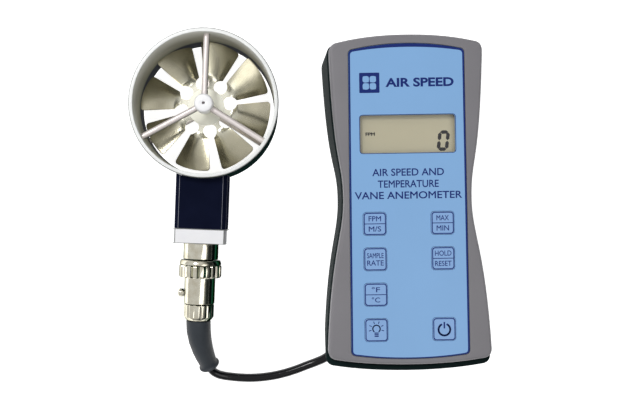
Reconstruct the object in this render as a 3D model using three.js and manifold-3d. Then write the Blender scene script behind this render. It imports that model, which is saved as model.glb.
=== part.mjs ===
// Handheld vane anemometer: a meter with a keypad and display, and a 70 mm rotating-vane probe
// that plugs into the meter's cable with a bayonet coupling.
// Millimetres, +Z up. The origin is the centre of the meter's flat back, on the table.
// +Y runs up the meter towards its display, and the probe lies on the -X side.

import * as THREE from 'three';
import { mergeVertices } from 'three/addons/utils/BufferGeometryUtils.js';
import Module from 'manifold-3d';

const wasm = await Module();
wasm.setup();

// ---------------------------------------------------------------- driving dimensions

const SEAM = 0.3; // air left between neighbouring pieces
const WALL = 2.4;

const METER_HEIGHT = 35;
const PARTING_HEIGHT = 29.4;
const WEB_BOTTOM = 32.2;
const RECESS_FLOOR = 34;
const FLOOR_THICKNESS = 3;

// Half widths and ends of the meter's outlines, seen from the front.
const FACE = {
  topHalf: 35.3, waistHalf: 29.5, bottomHalf: 37.7, topEnd: 76.1, bottomEnd: -76.2,
  topDrop: 3.8, bottomDrop: 2.9, corner: 4,
};
const REAR_RIM = {
  topHalf: 36, waistHalf: 30, bottomHalf: 38.5, topEnd: 76.4, bottomEnd: -80.1,
  topDrop: 3.9, bottomDrop: 3, corner: 4,
};
const REAR_BACK = {
  topHalf: 36.6, waistHalf: 29.5, bottomHalf: 37, topEnd: 75.7, bottomEnd: -73,
  topDrop: 3.9, bottomDrop: 3.2, corner: 5,
};
const FACEPLATE = {
  topHalf: 26.6, waistHalf: 26.9, bottomHalf: 27.2, topEnd: 71.7, bottomEnd: -73.3,
  topDrop: 2.8, bottomDrop: 1.9, corner: 2,
};

const DISPLAY = { x: 0.2, y: 30.1, width: 43.8, height: 17.4, corner: 1.2 };

const KEY_SIZE = 10.6;
const KEY_CORNER = 1.5;
const KEY_COLUMN = 15.6;
const FIRST_KEY_ROW = -11.1;
const KEY_PITCH = 16.3;
const KEY_TOP = 35;
const PLUNGER_RADIUS = 3;
const KEYS = [
  { name: 'key_velocity_units', side: -1, row: 0 },
  { name: 'key_sample_rate', side: -1, row: 1 },
  { name: 'key_temperature_units', side: -1, row: 2 },
  { name: 'key_backlight', side: -1, row: 3 },
  { name: 'key_max_min', side: 1, row: 0 },
  { name: 'key_hold_reset', side: 1, row: 1 },
  { name: 'key_power', side: 1, row: 3 },
];

const CASE_SCREWS = [[-27, 60], [27, 60], [-27, -54], [27, -54]];

const BATTERY = { width: 26.5, length: 45.5, thickness: 17.5, topEnd: -17.5 };
const DOOR = { halfWidth: 16.7, topEnd: -12.8, bottom: 0.15, top: 1.6 };

// Probe, in its own frame: origin below the middle of the ring, stem along -Y.
const RING_CENTRE = [-93.9, 46.4];
const PROBE_LEAN = THREE.MathUtils.degToRad(-3);
const RING_OUTER = 35;
const RING_INNER = 33;
const RING_DEPTH = 32;
const PROBE_AXIS_HEIGHT = 16;
const STRUT_RADIUS = 1.5;
const HUB_RADIUS = 4.45;
const SHAFT_RADIUS = 0.6;

const BLADE_COUNT = 8;
const BLADE_ROOT = 9;
const BLADE_SHOULDER = 15.8;
const BLADE_TIP = 31.1;
const BLADE_HALF_ANGLE = 17.4;
const BLADE_PITCH = 26;
const BLADE_THICKNESS = 0.5;
const FIRST_BLADE_ANGLE = 33.6;

const STEM_WIDTH = 24.5;
const STEM_THICKNESS = 22;
const STEM_END = 58.9;
const BAND_END = 65.9;
const STUD_DISTANCE = 90.4;
const SLOT_WIDTH = 3.2;
const COUPLING_TURN = 50;
const CONNECTOR_END = 103.2;

const CABLE_RADIUS = 2.1;
const GLAND_MOUTH = new THREE.Vector3(-31.5, -73.6, 5);
const GLAND_HEADING = THREE.MathUtils.degToRad(225); // the way the gland points, in plan

// ---------------------------------------------------------------- finishes

const finish = (color, roughness, metalness = 0) => (
  new THREE.MeshStandardMaterial({ color, roughness, metalness })
);
const GREY_PLASTIC = finish(0x85838a, 0.5);
const DARK_PLASTIC = finish(0x26302e, 0.55);
const BLUE_MEMBRANE = finish(0x86b2de, 0.45);
const CLEAR_WINDOW = finish(0xd8dcd4, 0.08);
const DISPLAY_GLASS = finish(0xbcaf96, 0.2);
const WHITE_PLASTIC = finish(0xe6e6e2, 0.4);
const BOARD_GREEN = finish(0x1f6b45, 0.5);
const BLACK_PLASTIC = finish(0x16171a, 0.5);
const NAVY_METAL = finish(0x14162c, 0.35, 0.4);
const ALUMINIUM = finish(0xcfd0cf, 0.3, 1);
const BRUSHED_METAL = finish(0xdadbe0, 0.35, 1);
const NICKEL = finish(0xd8d2c2, 0.15, 1);
const STEEL = finish(0xb4b6ba, 0.25, 1);
const JEWEL = finish(0xb01840, 0.1);
const RUBBER = finish(0x23262a, 0.6);
const GLOSSY_BLACK = finish(0x0e0f12, 0.25);
const BATTERY_CAN = finish(0x3c4654, 0.35, 0.6);

// ---------------------------------------------------------------- geometry helpers

// One closed body: shared corners merged, slivers dropped, faces turned outwards.
function closedBody(geometry) {
  const bare = geometry.clone();
  bare.deleteAttribute('normal');
  bare.deleteAttribute('uv');
  const merged = mergeVertices(bare, 1e-4);
  const corners = merged.attributes.position;
  const all = merged.index.array;
  const kept = [];
  let volume = 0;
  for (let at = 0; at < all.length; at += 3) {
    const [a, b, c] = [all[at], all[at + 1], all[at + 2]];
    if (a === b || b === c || c === a) continue;
    kept.push(a, b, c);
    const [p, q, r] = [a, b, c].map((i) => new THREE.Vector3().fromBufferAttribute(corners, i));
    volume += p.dot(q.cross(r));
  }
  if (volume < 0) kept.reverse();
  merged.setIndex(kept);
  return merged;
}

function toSolid(geometry) {
  const body = closedBody(geometry);
  return new wasm.Manifold(new wasm.Mesh({
    numProp: 3,
    vertProperties: new Float32Array(body.attributes.position.array),
    triVerts: new Uint32Array(body.index.array),
  }));
}

function toGeometry(solid) {
  const mesh = solid.getMesh();
  const geometry = new THREE.BufferGeometry();
  geometry.setAttribute('position', new THREE.Float32BufferAttribute(mesh.vertProperties, 3));
  geometry.setIndex([...mesh.triVerts]);
  return geometry;
}

const joined = (...pieces) => toGeometry(
  pieces.map(toSolid).reduce((whole, piece) => whole.add(piece)),
);
const cut = (base, ...tools) => toGeometry(
  tools.map(toSolid).reduce((left, tool) => left.subtract(tool), toSolid(base)),
);
const overlapOf = (one, other) => toGeometry(toSolid(one).intersect(toSolid(other)));

function block(x0, x1, y0, y1, z0, z1) {
  const box = new THREE.BoxGeometry(x1 - x0, y1 - y0, z1 - z0);
  return box.translate((x0 + x1) / 2, (y0 + y1) / 2, (z0 + z1) / 2);
}

function plate(shape, bottom, top, curveSegments = 2) {
  const depth = top - bottom;
  const slab = new THREE.ExtrudeGeometry(shape, { depth, curveSegments, bevelEnabled: false });
  return slab.translate(0, 0, bottom);
}

function roundedRectangle(width, height, corner, x = 0, y = 0) {
  const [left, right] = [x - width / 2, x + width / 2];
  const [low, high] = [y - height / 2, y + height / 2];
  const shape = new THREE.Shape();
  shape.moveTo(left + corner, low);
  shape.lineTo(right - corner, low);
  shape.absarc(right - corner, low + corner, corner, -Math.PI / 2, 0);
  shape.lineTo(right, high - corner);
  shape.absarc(right - corner, high - corner, corner, 0, Math.PI / 2);
  shape.lineTo(left + corner, high);
  shape.absarc(left + corner, high - corner, corner, Math.PI / 2, Math.PI);
  shape.lineTo(left, low + corner);
  shape.absarc(left + corner, low + corner, corner, Math.PI, Math.PI * 1.5);
  return shape;
}

function chamferedRectangle(width, height, chamfer) {
  const [w, h] = [width / 2, height / 2];
  const corners = [
    [w - chamfer, -h], [w, chamfer - h], [w, h - chamfer], [w - chamfer, h],
    [chamfer - w, h], [-w, h - chamfer], [-w, chamfer - h], [chamfer - w, -h],
  ];
  return new THREE.Shape(corners.map(([x, y]) => new THREE.Vector2(x, y)));
}

// Round bar between two points.
function rod(start, end, radius, sides = 10) {
  const along = new THREE.Vector3().subVectors(end, start);
  const bar = new THREE.CylinderGeometry(radius, radius, along.length(), sides);
  const turn = new THREE.Quaternion().setFromUnitVectors(
    new THREE.Vector3(0, 1, 0), along.clone().normalize(),
  );
  const middle = new THREE.Vector3().addVectors(start, end).multiplyScalar(0.5);
  return bar.applyQuaternion(turn).translate(middle.x, middle.y, middle.z);
}

const uprightRod = (x, y, z0, z1, radius, sides = 10) => (
  rod(new THREE.Vector3(x, y, z0), new THREE.Vector3(x, y, z1), radius, sides)
);

// Turned about Z from [radius, height] pairs, closing the profile on itself off the axis.
function turned(profile, sides = 24) {
  const onAxis = profile[0][0] === 0 && profile.at(-1)[0] === 0;
  const outline = onAxis ? profile : [...profile, profile[0]];
  const points = outline.map(([radius, height]) => new THREE.Vector2(radius, height));
  return new THREE.LatheGeometry(points, sides).rotateX(Math.PI / 2);
}

// Turned about the probe's connector axis from [radius, distance from the ring centre] pairs.
function turnedAlongStem(profile, sides = 24) {
  const piece = turned(profile.map(([radius, distance]) => [radius, distance]), sides);
  return piece.rotateX(Math.PI / 2).translate(0, 0, PROBE_AXIS_HEIGHT);
}

// Solid skin through rings that all have the same number of points, with flat ends.
function loft(rings, flatten = (p) => new THREE.Vector2(p.x, p.y)) {
  const count = rings[0].length;
  const index = [];
  for (let ring = 0; ring + 1 < rings.length; ring += 1) {
    for (let i = 0; i < count; i += 1) {
      const [a, b] = [ring * count + i, ring * count + ((i + 1) % count)];
      index.push(a, b, b + count, a, b + count, a + count);
    }
  }
  const cap = (ring, offset, facing) => {
    const flat = ring.map(flatten);
    const wanted = Math.sign(THREE.ShapeUtils.area(flat)) * facing;
    for (const corner of THREE.ShapeUtils.triangulateShape(flat, [])) {
      const area = THREE.ShapeUtils.area(corner.map((i) => flat[i]));
      const ordered = Math.sign(area) === wanted ? corner : [...corner].reverse();
      index.push(...ordered.map((i) => i + offset));
    }
  };
  cap(rings[0], 0, -1);
  cap(rings.at(-1), (rings.length - 1) * count, 1);
  const geometry = new THREE.BufferGeometry();
  const numbers = rings.flat().flatMap((p) => [p.x, p.y, p.z]);
  geometry.setAttribute('position', new THREE.Float32BufferAttribute(numbers, 3));
  geometry.setIndex(index);
  return geometry;
}

// Thin sheet from a front and a back grid of points (rows of equal length), closed round its edge.
function sheetSolid(front, back) {
  const [rows, columns] = [front.length, front[0].length];
  const size = rows * columns;
  const at = (side, row, column) => side * size + row * columns + column;
  const index = [];
  const quad = (a, b, c, d) => index.push(a, b, c, a, c, d);
  for (let r = 0; r + 1 < rows; r += 1) {
    for (let c = 0; c + 1 < columns; c += 1) {
      quad(at(0, r, c), at(0, r + 1, c), at(0, r + 1, c + 1), at(0, r, c + 1));
      quad(at(1, r, c), at(1, r, c + 1), at(1, r + 1, c + 1), at(1, r + 1, c));
    }
    quad(at(0, r, 0), at(1, r, 0), at(1, r + 1, 0), at(0, r + 1, 0));
    const last = columns - 1;
    quad(at(0, r, last), at(0, r + 1, last), at(1, r + 1, last), at(1, r, last));
  }
  for (let c = 0; c + 1 < columns; c += 1) {
    quad(at(0, 0, c), at(0, 0, c + 1), at(1, 0, c + 1), at(1, 0, c));
    const last = rows - 1;
    quad(at(0, last, c), at(1, last, c), at(1, last, c + 1), at(0, last, c + 1));
  }
  const numbers = [...front.flat(), ...back.flat()].flatMap((p) => [p.x, p.y, p.z]);
  const geometry = new THREE.BufferGeometry();
  geometry.setAttribute('position', new THREE.Float32BufferAttribute(numbers, 3));
  geometry.setIndex(index);
  return geometry;
}

// ---------------------------------------------------------------- assembly

const anemometer = new THREE.Group();
const probe = new THREE.Group();
probe.position.set(RING_CENTRE[0], RING_CENTRE[1], 0);
probe.rotation.z = PROBE_LEAN;
anemometer.add(probe);

function addPart(name, geometry, material, parent = anemometer) {
  const body = closedBody(geometry);
  body.computeVertexNormals();
  const mesh = new THREE.Mesh(body, material);
  mesh.name = name;
  parent.add(mesh);
  return mesh;
}

// ---------------------------------------------------------------- meter outline

const WAIST_HEIGHT = 0;
const SIDE_TOP = 66;

// Waisted outline with arched ends, counter-clockwise, grown outwards by `grow`.
function meterOutline(form, grow = 0, divisions = 5) {
  const top = form.topHalf + grow;
  const waist = form.waistHalf + grow;
  const bottom = form.bottomHalf + grow;
  const topEnd = form.topEnd + grow;
  const bottomEnd = form.bottomEnd - grow;
  const corner = Math.max(form.corner + grow, 0.6);
  const bottomShoulder = bottomEnd + form.bottomDrop;
  const topShoulder = topEnd - form.topDrop;
  const half = new THREE.Path();
  half.moveTo(0, bottomEnd);
  half.quadraticCurveTo(bottom * 0.5, bottomEnd, bottom - corner, bottomShoulder - corner * 0.12);
  half.quadraticCurveTo(bottom, bottomShoulder, bottom, bottomShoulder + corner);
  if (waist < top) {
    const lowBend = bottom - (bottom - waist) * 0.29;
    const highBend = top - (top - waist) * 0.36;
    half.bezierCurveTo(lowBend, -22.7, waist, -16.5, waist, WAIST_HEIGHT);
    half.bezierCurveTo(waist, 19.8, highBend, 13.3, top, SIDE_TOP);
  }
  half.lineTo(top, topShoulder - corner);
  half.quadraticCurveTo(top, topShoulder, top - corner, topShoulder + corner * 0.14);
  half.quadraticCurveTo(top * 0.5, topEnd, 0, topEnd);
  const right = half.getPoints(divisions);
  const left = right.slice(1, -1).reverse().map((p) => new THREE.Vector2(-p.x, p.y));
  return [...right, ...left];
}

const raised = (outline, z) => outline.map((p) => new THREE.Vector3(p.x, p.y, z));

// Outline part of the way from one form to another, for tapered walls.
function blendedForm(from, to, share) {
  return Object.fromEntries(
    Object.keys(from).map((key) => [key, THREE.MathUtils.lerp(from[key], to[key], share)]),
  );
}

// ---------------------------------------------------------------- meter: front

const keyCentre = ({ side, row }) => [side * KEY_COLUMN, FIRST_KEY_ROW - row * KEY_PITCH];

function displayPane(grow, bottom, top) {
  const { x, y, width, height, corner } = DISPLAY;
  return plate(roundedRectangle(width + grow, height + grow, corner, x, y), bottom, top);
}

function frontShell() {
  const bottom = PARTING_HEIGHT + SEAM / 3;
  const outer = loft([
    raised(meterOutline(FACE), bottom),
    raised(meterOutline(FACE), METER_HEIGHT - 1.6),
    raised(meterOutline(FACE, -0.45), METER_HEIGHT - 0.5),
    raised(meterOutline(FACE, -1.5), METER_HEIGHT),
  ]);
  const cavity = loft([
    raised(meterOutline(FACE, -WALL), bottom - 1),
    raised(meterOutline(FACE, -WALL), WEB_BOTTOM),
  ]);
  const recess = loft([
    raised(meterOutline(FACEPLATE, SEAM), RECESS_FLOOR),
    raised(meterOutline(FACEPLATE, SEAM), METER_HEIGHT + 1),
  ]);
  const screwPosts = CASE_SCREWS.map(([x, y]) => uprightRod(x, y, bottom, WEB_BOTTOM + 0.4, 3.4));
  const screwHoles = CASE_SCREWS.map(([x, y]) => uprightRod(x, y, bottom - 1, 31, 1.8));
  const plungerHoles = KEYS.map((key) => (
    uprightRod(...keyCentre(key), WEB_BOTTOM - 1, RECESS_FLOOR + 1, PLUNGER_RADIUS + SEAM)
  ));
  const shell = cut(
    outer, cavity, recess, ...plungerHoles,
    displayPane(0.6, WEB_BOTTOM - 1, RECESS_FLOOR + 1),
    displayPane(4.6, RECESS_FLOOR - 0.7, RECESS_FLOOR + 1),
  );
  return cut(joined(shell, ...screwPosts), ...screwHoles);
}

function faceplate() {
  const top = RECESS_FLOOR + 0.75;
  const sheet = loft([
    raised(meterOutline(FACEPLATE), RECESS_FLOOR + 0.05),
    raised(meterOutline(FACEPLATE), top),
  ]);
  const keyHoles = KEYS.map((key) => plate(
    roundedRectangle(KEY_SIZE + 0.5, KEY_SIZE + 0.5, KEY_CORNER + 0.2, ...keyCentre(key)),
    RECESS_FLOOR - 1, top + 1,
  ));
  return cut(sheet, displayPane(0, RECESS_FLOOR - 1, top + 1), ...keyHoles);
}

function key(centre) {
  const cap = roundedRectangle(KEY_SIZE, KEY_SIZE, KEY_CORNER, ...centre);
  const capBottom = KEY_TOP - 0.5;
  return joined(
    plate(cap, capBottom, KEY_TOP),
    uprightRod(...centre, DOME_TOP + 0.6, capBottom + 0.2, PLUNGER_RADIUS),
  );
}

const BOARD = { halfWidth: 22.5, low: -67, high: 50, bottom: 27.6, top: 29.2 };
const DOME_TOP = 30.6;

function domeSheet() {
  const bottom = BOARD.top + SEAM;
  const top = bottom + 0.3;
  const domes = KEYS.map((one) => {
    const [x, y] = keyCentre(one);
    const dome = new THREE.CylinderGeometry(1.8, 3.2, DOME_TOP - bottom, 8);
    return dome.rotateX(Math.PI / 2).translate(x, y, (DOME_TOP + bottom) / 2);
  });
  return joined(block(-21.5, 21.5, -66, -4.5, bottom, top), ...domes);
}

addPart('front_shell', frontShell(), GREY_PLASTIC);
addPart('faceplate', faceplate(), BLUE_MEMBRANE);
addPart('display_window', displayPane(4, RECESS_FLOOR - 0.6, RECESS_FLOOR - 0.05), CLEAR_WINDOW);
for (const one of KEYS) addPart(one.name, key(keyCentre(one)), BLUE_MEMBRANE);

// ---------------------------------------------------------------- meter: inside

function displayFrame() {
  const { x, y, width, height, corner } = DISPLAY;
  const outer = roundedRectangle(width + 8.8, height + 8.8, corner, x, y);
  const [bottom, top] = [BOARD.top + SEAM, WEB_BOTTOM - 0.2];
  return cut(plate(outer, bottom, top), displayPane(3.4, bottom - 1, top + 1));
}

addPart('display_frame', displayFrame(), BLACK_PLASTIC);
addPart('backlight_panel', displayPane(2.8, BOARD.top + SEAM, BOARD.top + 0.9), WHITE_PLASTIC);
addPart('display_panel', displayPane(2.8, BOARD.top + 1.1, BOARD.top + 2.3), DISPLAY_GLASS);
addPart('dome_sheet', domeSheet(), STEEL);
addPart(
  'circuit_board',
  block(-BOARD.halfWidth, BOARD.halfWidth, BOARD.low, BOARD.high, BOARD.bottom, BOARD.top),
  BOARD_GREEN,
);
addPart('main_chip', block(-6, 6, 2, 14, BOARD.bottom - 2.2, BOARD.bottom - 0.1), BLACK_PLASTIC);

const BATTERY_BOTTOM = FLOOR_THICKNESS + 0.2;
const BATTERY_MIDDLE = BATTERY_BOTTOM + BATTERY.thickness / 2;

function battery() {
  const { width, length, thickness, topEnd } = BATTERY;
  const can = block(
    -width / 2, width / 2, topEnd - length, topEnd, BATTERY_BOTTOM, BATTERY_BOTTOM + thickness,
  );
  const terminals = [[-6.35, 2.8], [6.35, 3.8]].map(([x, radius]) => rod(
    new THREE.Vector3(x, topEnd - 1, BATTERY_MIDDLE),
    new THREE.Vector3(x, topEnd + 2.8, BATTERY_MIDDLE), radius,
  ));
  return joined(can, ...terminals);
}

addPart('battery', battery(), BATTERY_CAN);
addPart(
  'battery_snap',
  block(-12.5, 12.5, BATTERY.topEnd + 3.1, BATTERY.topEnd + 6.4, BATTERY_MIDDLE - 6, BATTERY_MIDDLE + 6),
  BLACK_PLASTIC,
);

// ---------------------------------------------------------------- meter: rear

const glandWay = new THREE.Vector3(Math.cos(GLAND_HEADING), Math.sin(GLAND_HEADING), 0);
const alongGland = (distance) => GLAND_MOUTH.clone().addScaledVector(glandWay, distance);

// Walls taper from the rim below the parting line to the smaller back, with soft edges.
function rearBody() {
  const top = PARTING_HEIGHT - SEAM / 3;
  const midway = blendedForm(REAR_BACK, REAR_RIM, 0.55);
  return loft([
    raised(meterOutline(REAR_BACK, -1.6), 0),
    raised(meterOutline(REAR_BACK, -0.5), 0.6),
    raised(meterOutline(REAR_BACK), 2),
    raised(meterOutline(midway), 14),
    raised(meterOutline(REAR_RIM), 25),
    raised(meterOutline(REAR_RIM), top - 1.4),
    raised(meterOutline(REAR_RIM, -0.9), top),
  ]);
}

function rearShell() {
  const midway = blendedForm(REAR_BACK, REAR_RIM, 0.55);
  const cavity = loft([
    raised(meterOutline(REAR_BACK, -WALL), FLOOR_THICKNESS),
    raised(meterOutline(midway, -WALL), 14),
    raised(meterOutline(REAR_RIM, -WALL), 25),
    raised(meterOutline(REAR_RIM, -WALL), PARTING_HEIGHT + 1),
  ]);
  const screwPosts = CASE_SCREWS.map(([x, y]) => (
    uprightRod(x, y, FLOOR_THICKNESS - 0.4, PARTING_HEIGHT - SEAM, 3.8)
  ));
  const glandBoss = rod(alongGland(-4), alongGland(-9), 4.8, 16);
  const glandSeat = rod(alongGland(6), alongGland(-4), 4.6, 16);
  const screwHoles = CASE_SCREWS.flatMap(([x, y]) => [
    uprightRod(x, y, 1, PARTING_HEIGHT + 1, 1.8),
    uprightRod(x, y, -1, 2.3, 3.1, 16),
  ]);
  const { width, length, topEnd } = BATTERY;
  return cut(
    joined(cut(rearBody(), cavity), ...screwPosts, glandBoss),
    ...screwHoles,
    glandSeat,
    rod(alongGland(-1), alongGland(-16), 3.3, 16),
    block(-DOOR.halfWidth - SEAM, DOOR.halfWidth + SEAM, -90, DOOR.topEnd + SEAM, -1, DOOR.top + SEAM),
    block(-width / 2 - 0.6, width / 2 + 0.6, topEnd - length - 0.6, topEnd + 3.2, 1, FLOOR_THICKNESS + 0.1),
  );
}

// Turned about its own axis: a flange outside the wall, a neck through it and a short sleeve.
function cableGland() {
  const profile = [
    [0, 0], [2.9, 0], [3.3, -1], [3.5, -2.2], [4.3, -2.4], [4.3, -3.7], [3, -3.7], [3, -11.5], [0, -11.5],
  ];
  const towards = new THREE.Quaternion().setFromUnitVectors(new THREE.Vector3(0, 0, 1), glandWay);
  const { x, y, z } = GLAND_MOUTH;
  return turned(profile, 16).applyQuaternion(towards).translate(x, y, z);
}

function batteryDoor() {
  const { halfWidth, topEnd, bottom, top } = DOOR;
  return overlapOf(rearBody(), block(-halfWidth, halfWidth, -90, topEnd, bottom, top));
}

function caseScrew([x, y]) {
  const screw = turned([
    [0, 0.5], [2.3, 0.5], [2.8, 0.9], [2.8, 2.1], [1.4, 2.1], [1.4, 30.5], [0, 30.5],
  ], 10);
  return screw.translate(x, y, 0);
}

addPart('rear_shell', rearShell(), DARK_PLASTIC);
addPart('battery_door', batteryDoor(), DARK_PLASTIC);
addPart('cable_gland', cableGland(), RUBBER);
CASE_SCREWS.forEach((place, i) => addPart(`case_screw_${i + 1}`, caseScrew(place), STEEL));

// ---------------------------------------------------------------- probe: ring and spiders

const FRONT_SPIDER_HEIGHT = 27;
const REAR_SPIDER_HEIGHT = 5;
const SENSOR_RADIUS = 2;
const THERMISTOR = { x: 7, height: 10, radius: 1 };

// Wire passages through the ring and the head of the stem, for the two sensors.
function sensorPassages() {
  const [near, far] = [-RING_INNER + 3, -40];
  return [
    rod(
      new THREE.Vector3(0, near, PROBE_AXIS_HEIGHT),
      new THREE.Vector3(0, far, PROBE_AXIS_HEIGHT), SENSOR_RADIUS + SEAM,
    ),
    rod(
      new THREE.Vector3(THERMISTOR.x, near, THERMISTOR.height),
      new THREE.Vector3(THERMISTOR.x, far, THERMISTOR.height), THERMISTOR.radius + SEAM,
    ),
  ];
}

function vaneRing() {
  const [inner, outer, depth] = [RING_INNER, RING_OUTER, RING_DEPTH];
  const duct = turned([
    [inner + 0.3, 0], [outer - 0.5, 0], [outer, 0.5], [outer, depth - 0.5],
    [outer - 0.5, depth], [inner + 0.3, depth], [inner, depth - 0.4], [inner, 0.4],
  ], 56);
  return cut(duct, ...sensorPassages());
}

function spiderHub(inward) {
  const hub = turned([
    [0.7, 31], [HUB_RADIUS - 0.8, 31], [HUB_RADIUS, 30.2], [HUB_RADIUS, 24.6],
    [1.9, 24.6], [1.9, 28.4], [0.7, 28.4],
  ], 16);
  return inward ? hub : hub.rotateX(Math.PI).translate(0, 0, RING_DEPTH);
}

function bearing(inward) {
  const cup = turned([[SHAFT_RADIUS + 0.06, 25], [1.6, 25], [1.6, 28.1], [SHAFT_RADIUS + 0.06, 28.1]], 12);
  return inward ? cup : cup.rotateX(Math.PI).translate(0, 0, RING_DEPTH);
}

function strut(height) {
  return rod(
    new THREE.Vector3(HUB_RADIUS + 0.2, 0, height),
    new THREE.Vector3(RING_INNER - 0.35, 0, height), STRUT_RADIUS,
  );
}

addPart('vane_ring', vaneRing(), ALUMINIUM, probe);
for (const [side, inward, height] of [
  ['front', true, FRONT_SPIDER_HEIGHT], ['rear', false, REAR_SPIDER_HEIGHT],
]) {
  addPart(`${side}_hub`, spiderHub(inward), ALUMINIUM, probe);
  addPart(`${side}_bearing`, bearing(inward), JEWEL, probe);
  for (let i = 0; i < 3; i += 1) {
    const wire = addPart(`${side}_strut_${i + 1}`, strut(height), ALUMINIUM, probe);
    wire.rotation.z = THREE.MathUtils.degToRad(90 + i * 120);
  }
}

// ---------------------------------------------------------------- probe: impeller

function impellerHub() {
  const bore = SHAFT_RADIUS + 0.15;
  const middle = PROBE_AXIS_HEIGHT;
  return turned([
    [bore, 10], [2.6, 10], [3.2, 10.8], [3.2, middle - 0.5], [BLADE_ROOT - 0.3, middle - 0.5],
    [BLADE_ROOT - 0.3, middle + 0.5], [3.2, middle + 0.5], [3.2, 21.4], [2.6, 22.2], [bore, 22.2],
  ], 24);
}

// Half of a blade's angle at a distance from the shaft: hub end, round-sided neck, sector, tip corner.
function bladeHalfAngle(radius) {
  const [neckCentre, gapRadius] = [12, 3.3];
  const pitchAngle = 180 / BLADE_COUNT;
  if (radius > BLADE_TIP - 1) {
    const past = radius - (BLADE_TIP - 1);
    return BLADE_HALF_ANGLE - 2.4 * (1 - Math.sqrt(Math.max(0, 1 - past * past)));
  }
  const reach = Math.min(1, Math.abs(radius - neckCentre) / gapRadius);
  const gap = gapRadius * Math.sqrt(1 - reach * reach);
  const inGap = pitchAngle - THREE.MathUtils.radToDeg(gap / radius);
  return Math.min(BLADE_HALF_ANGLE, inGap);
}

function vaneBlade() {
  const radii = [BLADE_ROOT, 10, 11.2, 12.4, 13.6, 14.7, BLADE_SHOULDER, 20, 25, 30.1, 30.7, BLADE_TIP];
  const columns = 5;
  const camber = 0.9;
  const front = [];
  const back = [];
  for (const radius of radii) {
    const opened = THREE.MathUtils.smoothstep(radius, 12, BLADE_SHOULDER);
    const slope = Math.tan(THREE.MathUtils.degToRad(BLADE_PITCH * opened));
    const half = THREE.MathUtils.degToRad(bladeHalfAngle(radius));
    const points = Array.from({ length: columns }, (_, column) => {
      const across = (column / (columns - 1)) * 2 - 1;
      const [x, y] = [radius * Math.cos(half * across), radius * Math.sin(half * across)];
      const z = slope * y + camber * opened * (1 - across * across);
      return new THREE.Vector3(x, y, z);
    });
    const shift = new THREE.Vector3(0, -slope, 1).setLength(BLADE_THICKNESS / 2);
    front.push(points.map((p) => p.clone().add(shift)));
    back.push(points.map((p) => p.clone().sub(shift)));
  }
  return sheetSolid(front, back);
}

addPart('impeller_hub', impellerHub(), ALUMINIUM, probe);
addPart('vane_shaft', uprightRod(0, 0, 4.1, 27.9, SHAFT_RADIUS), STEEL, probe);
for (let i = 0; i < BLADE_COUNT; i += 1) {
  const blade = addPart(`vane_blade_${i + 1}`, vaneBlade(), ALUMINIUM, probe);
  blade.position.z = PROBE_AXIS_HEIGHT;
  blade.rotation.z = THREE.MathUtils.degToRad(FIRST_BLADE_ANGLE + (i * 360) / BLADE_COUNT);
}

// ---------------------------------------------------------------- probe: stem

// Bar along the stem with chamfered edges, between two distances from the ring centre.
function stemBar(width, thickness, chamfer, from, to) {
  const bar = plate(chamferedRectangle(width, thickness, chamfer), from, to);
  return bar.rotateX(Math.PI / 2).translate(0, 0, PROBE_AXIS_HEIGHT);
}

const STEM_CAVITY = { width: 19.5, thickness: 17, start: 38.5 };

function stemHousing() {
  const { width, thickness, start } = STEM_CAVITY;
  return cut(
    stemBar(STEM_WIDTH, STEM_THICKNESS, 2, 30, STEM_END),
    uprightRod(0, 0, -1, RING_DEPTH + 1, RING_OUTER + SEAM, 56),
    stemBar(width, thickness, 0.5, start, STEM_END + 1),
    ...sensorPassages(),
  );
}

function stemBand() {
  const { width, thickness } = STEM_CAVITY;
  return cut(
    joined(
      stemBar(STEM_WIDTH + 1.1, STEM_THICKNESS + 1, 1.2, STEM_END + 0.2, BAND_END),
      stemBar(width - 0.6, thickness - 0.6, 0.5, STEM_END - 2.4, STEM_END + 0.5),
    ),
    turnedAlongStem([[0, STEM_END - 4], [3, STEM_END - 4], [3, BAND_END + 1], [0, BAND_END + 1]], 16),
  );
}

addPart('stem_housing', stemHousing(), NAVY_METAL, probe);
addPart('stem_band', stemBand(), BRUSHED_METAL, probe);
addPart('sensor_board', block(-8, 8, -55.5, -42.5, 9, 10.4), BOARD_GREEN, probe);
addPart(
  'pickup_sensor',
  rod(
    new THREE.Vector3(0, -RING_INNER - 0.2, PROBE_AXIS_HEIGHT),
    new THREE.Vector3(0, -41, PROBE_AXIS_HEIGHT), SENSOR_RADIUS,
  ),
  BLACK_PLASTIC, probe,
);
addPart(
  'temperature_sensor',
  rod(
    new THREE.Vector3(THERMISTOR.x, -RING_INNER + 1.5, THERMISTOR.height),
    new THREE.Vector3(THERMISTOR.x, -41, THERMISTOR.height), THERMISTOR.radius,
  ),
  STEEL, probe,
);

// ---------------------------------------------------------------- probe: bayonet connector

const COLLAR = { radius: 6.7, start: 77.4, end: 79.9 };
const GRIP = { radius: 10.25, start: 76.5, end: 82.5, notches: 20 };
const SLEEVE = { radius: 7.45, bore: 5.95, end: 95.2 };
const JACK = { radius: 5.5, bore: 4.4, start: 82.2, seat: 89, end: 95.4 };

function plugBody() {
  return turnedAlongStem([
    [3.2, BAND_END + 0.2], [8.45, BAND_END + 0.2], [8.45, 73.8], [5.9, 73.8], [5.9, COLLAR.start],
    [COLLAR.radius, COLLAR.start], [COLLAR.radius, COLLAR.end], [4, COLLAR.end], [4, 88],
    [3.2, 88],
  ], 24);
}

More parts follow.
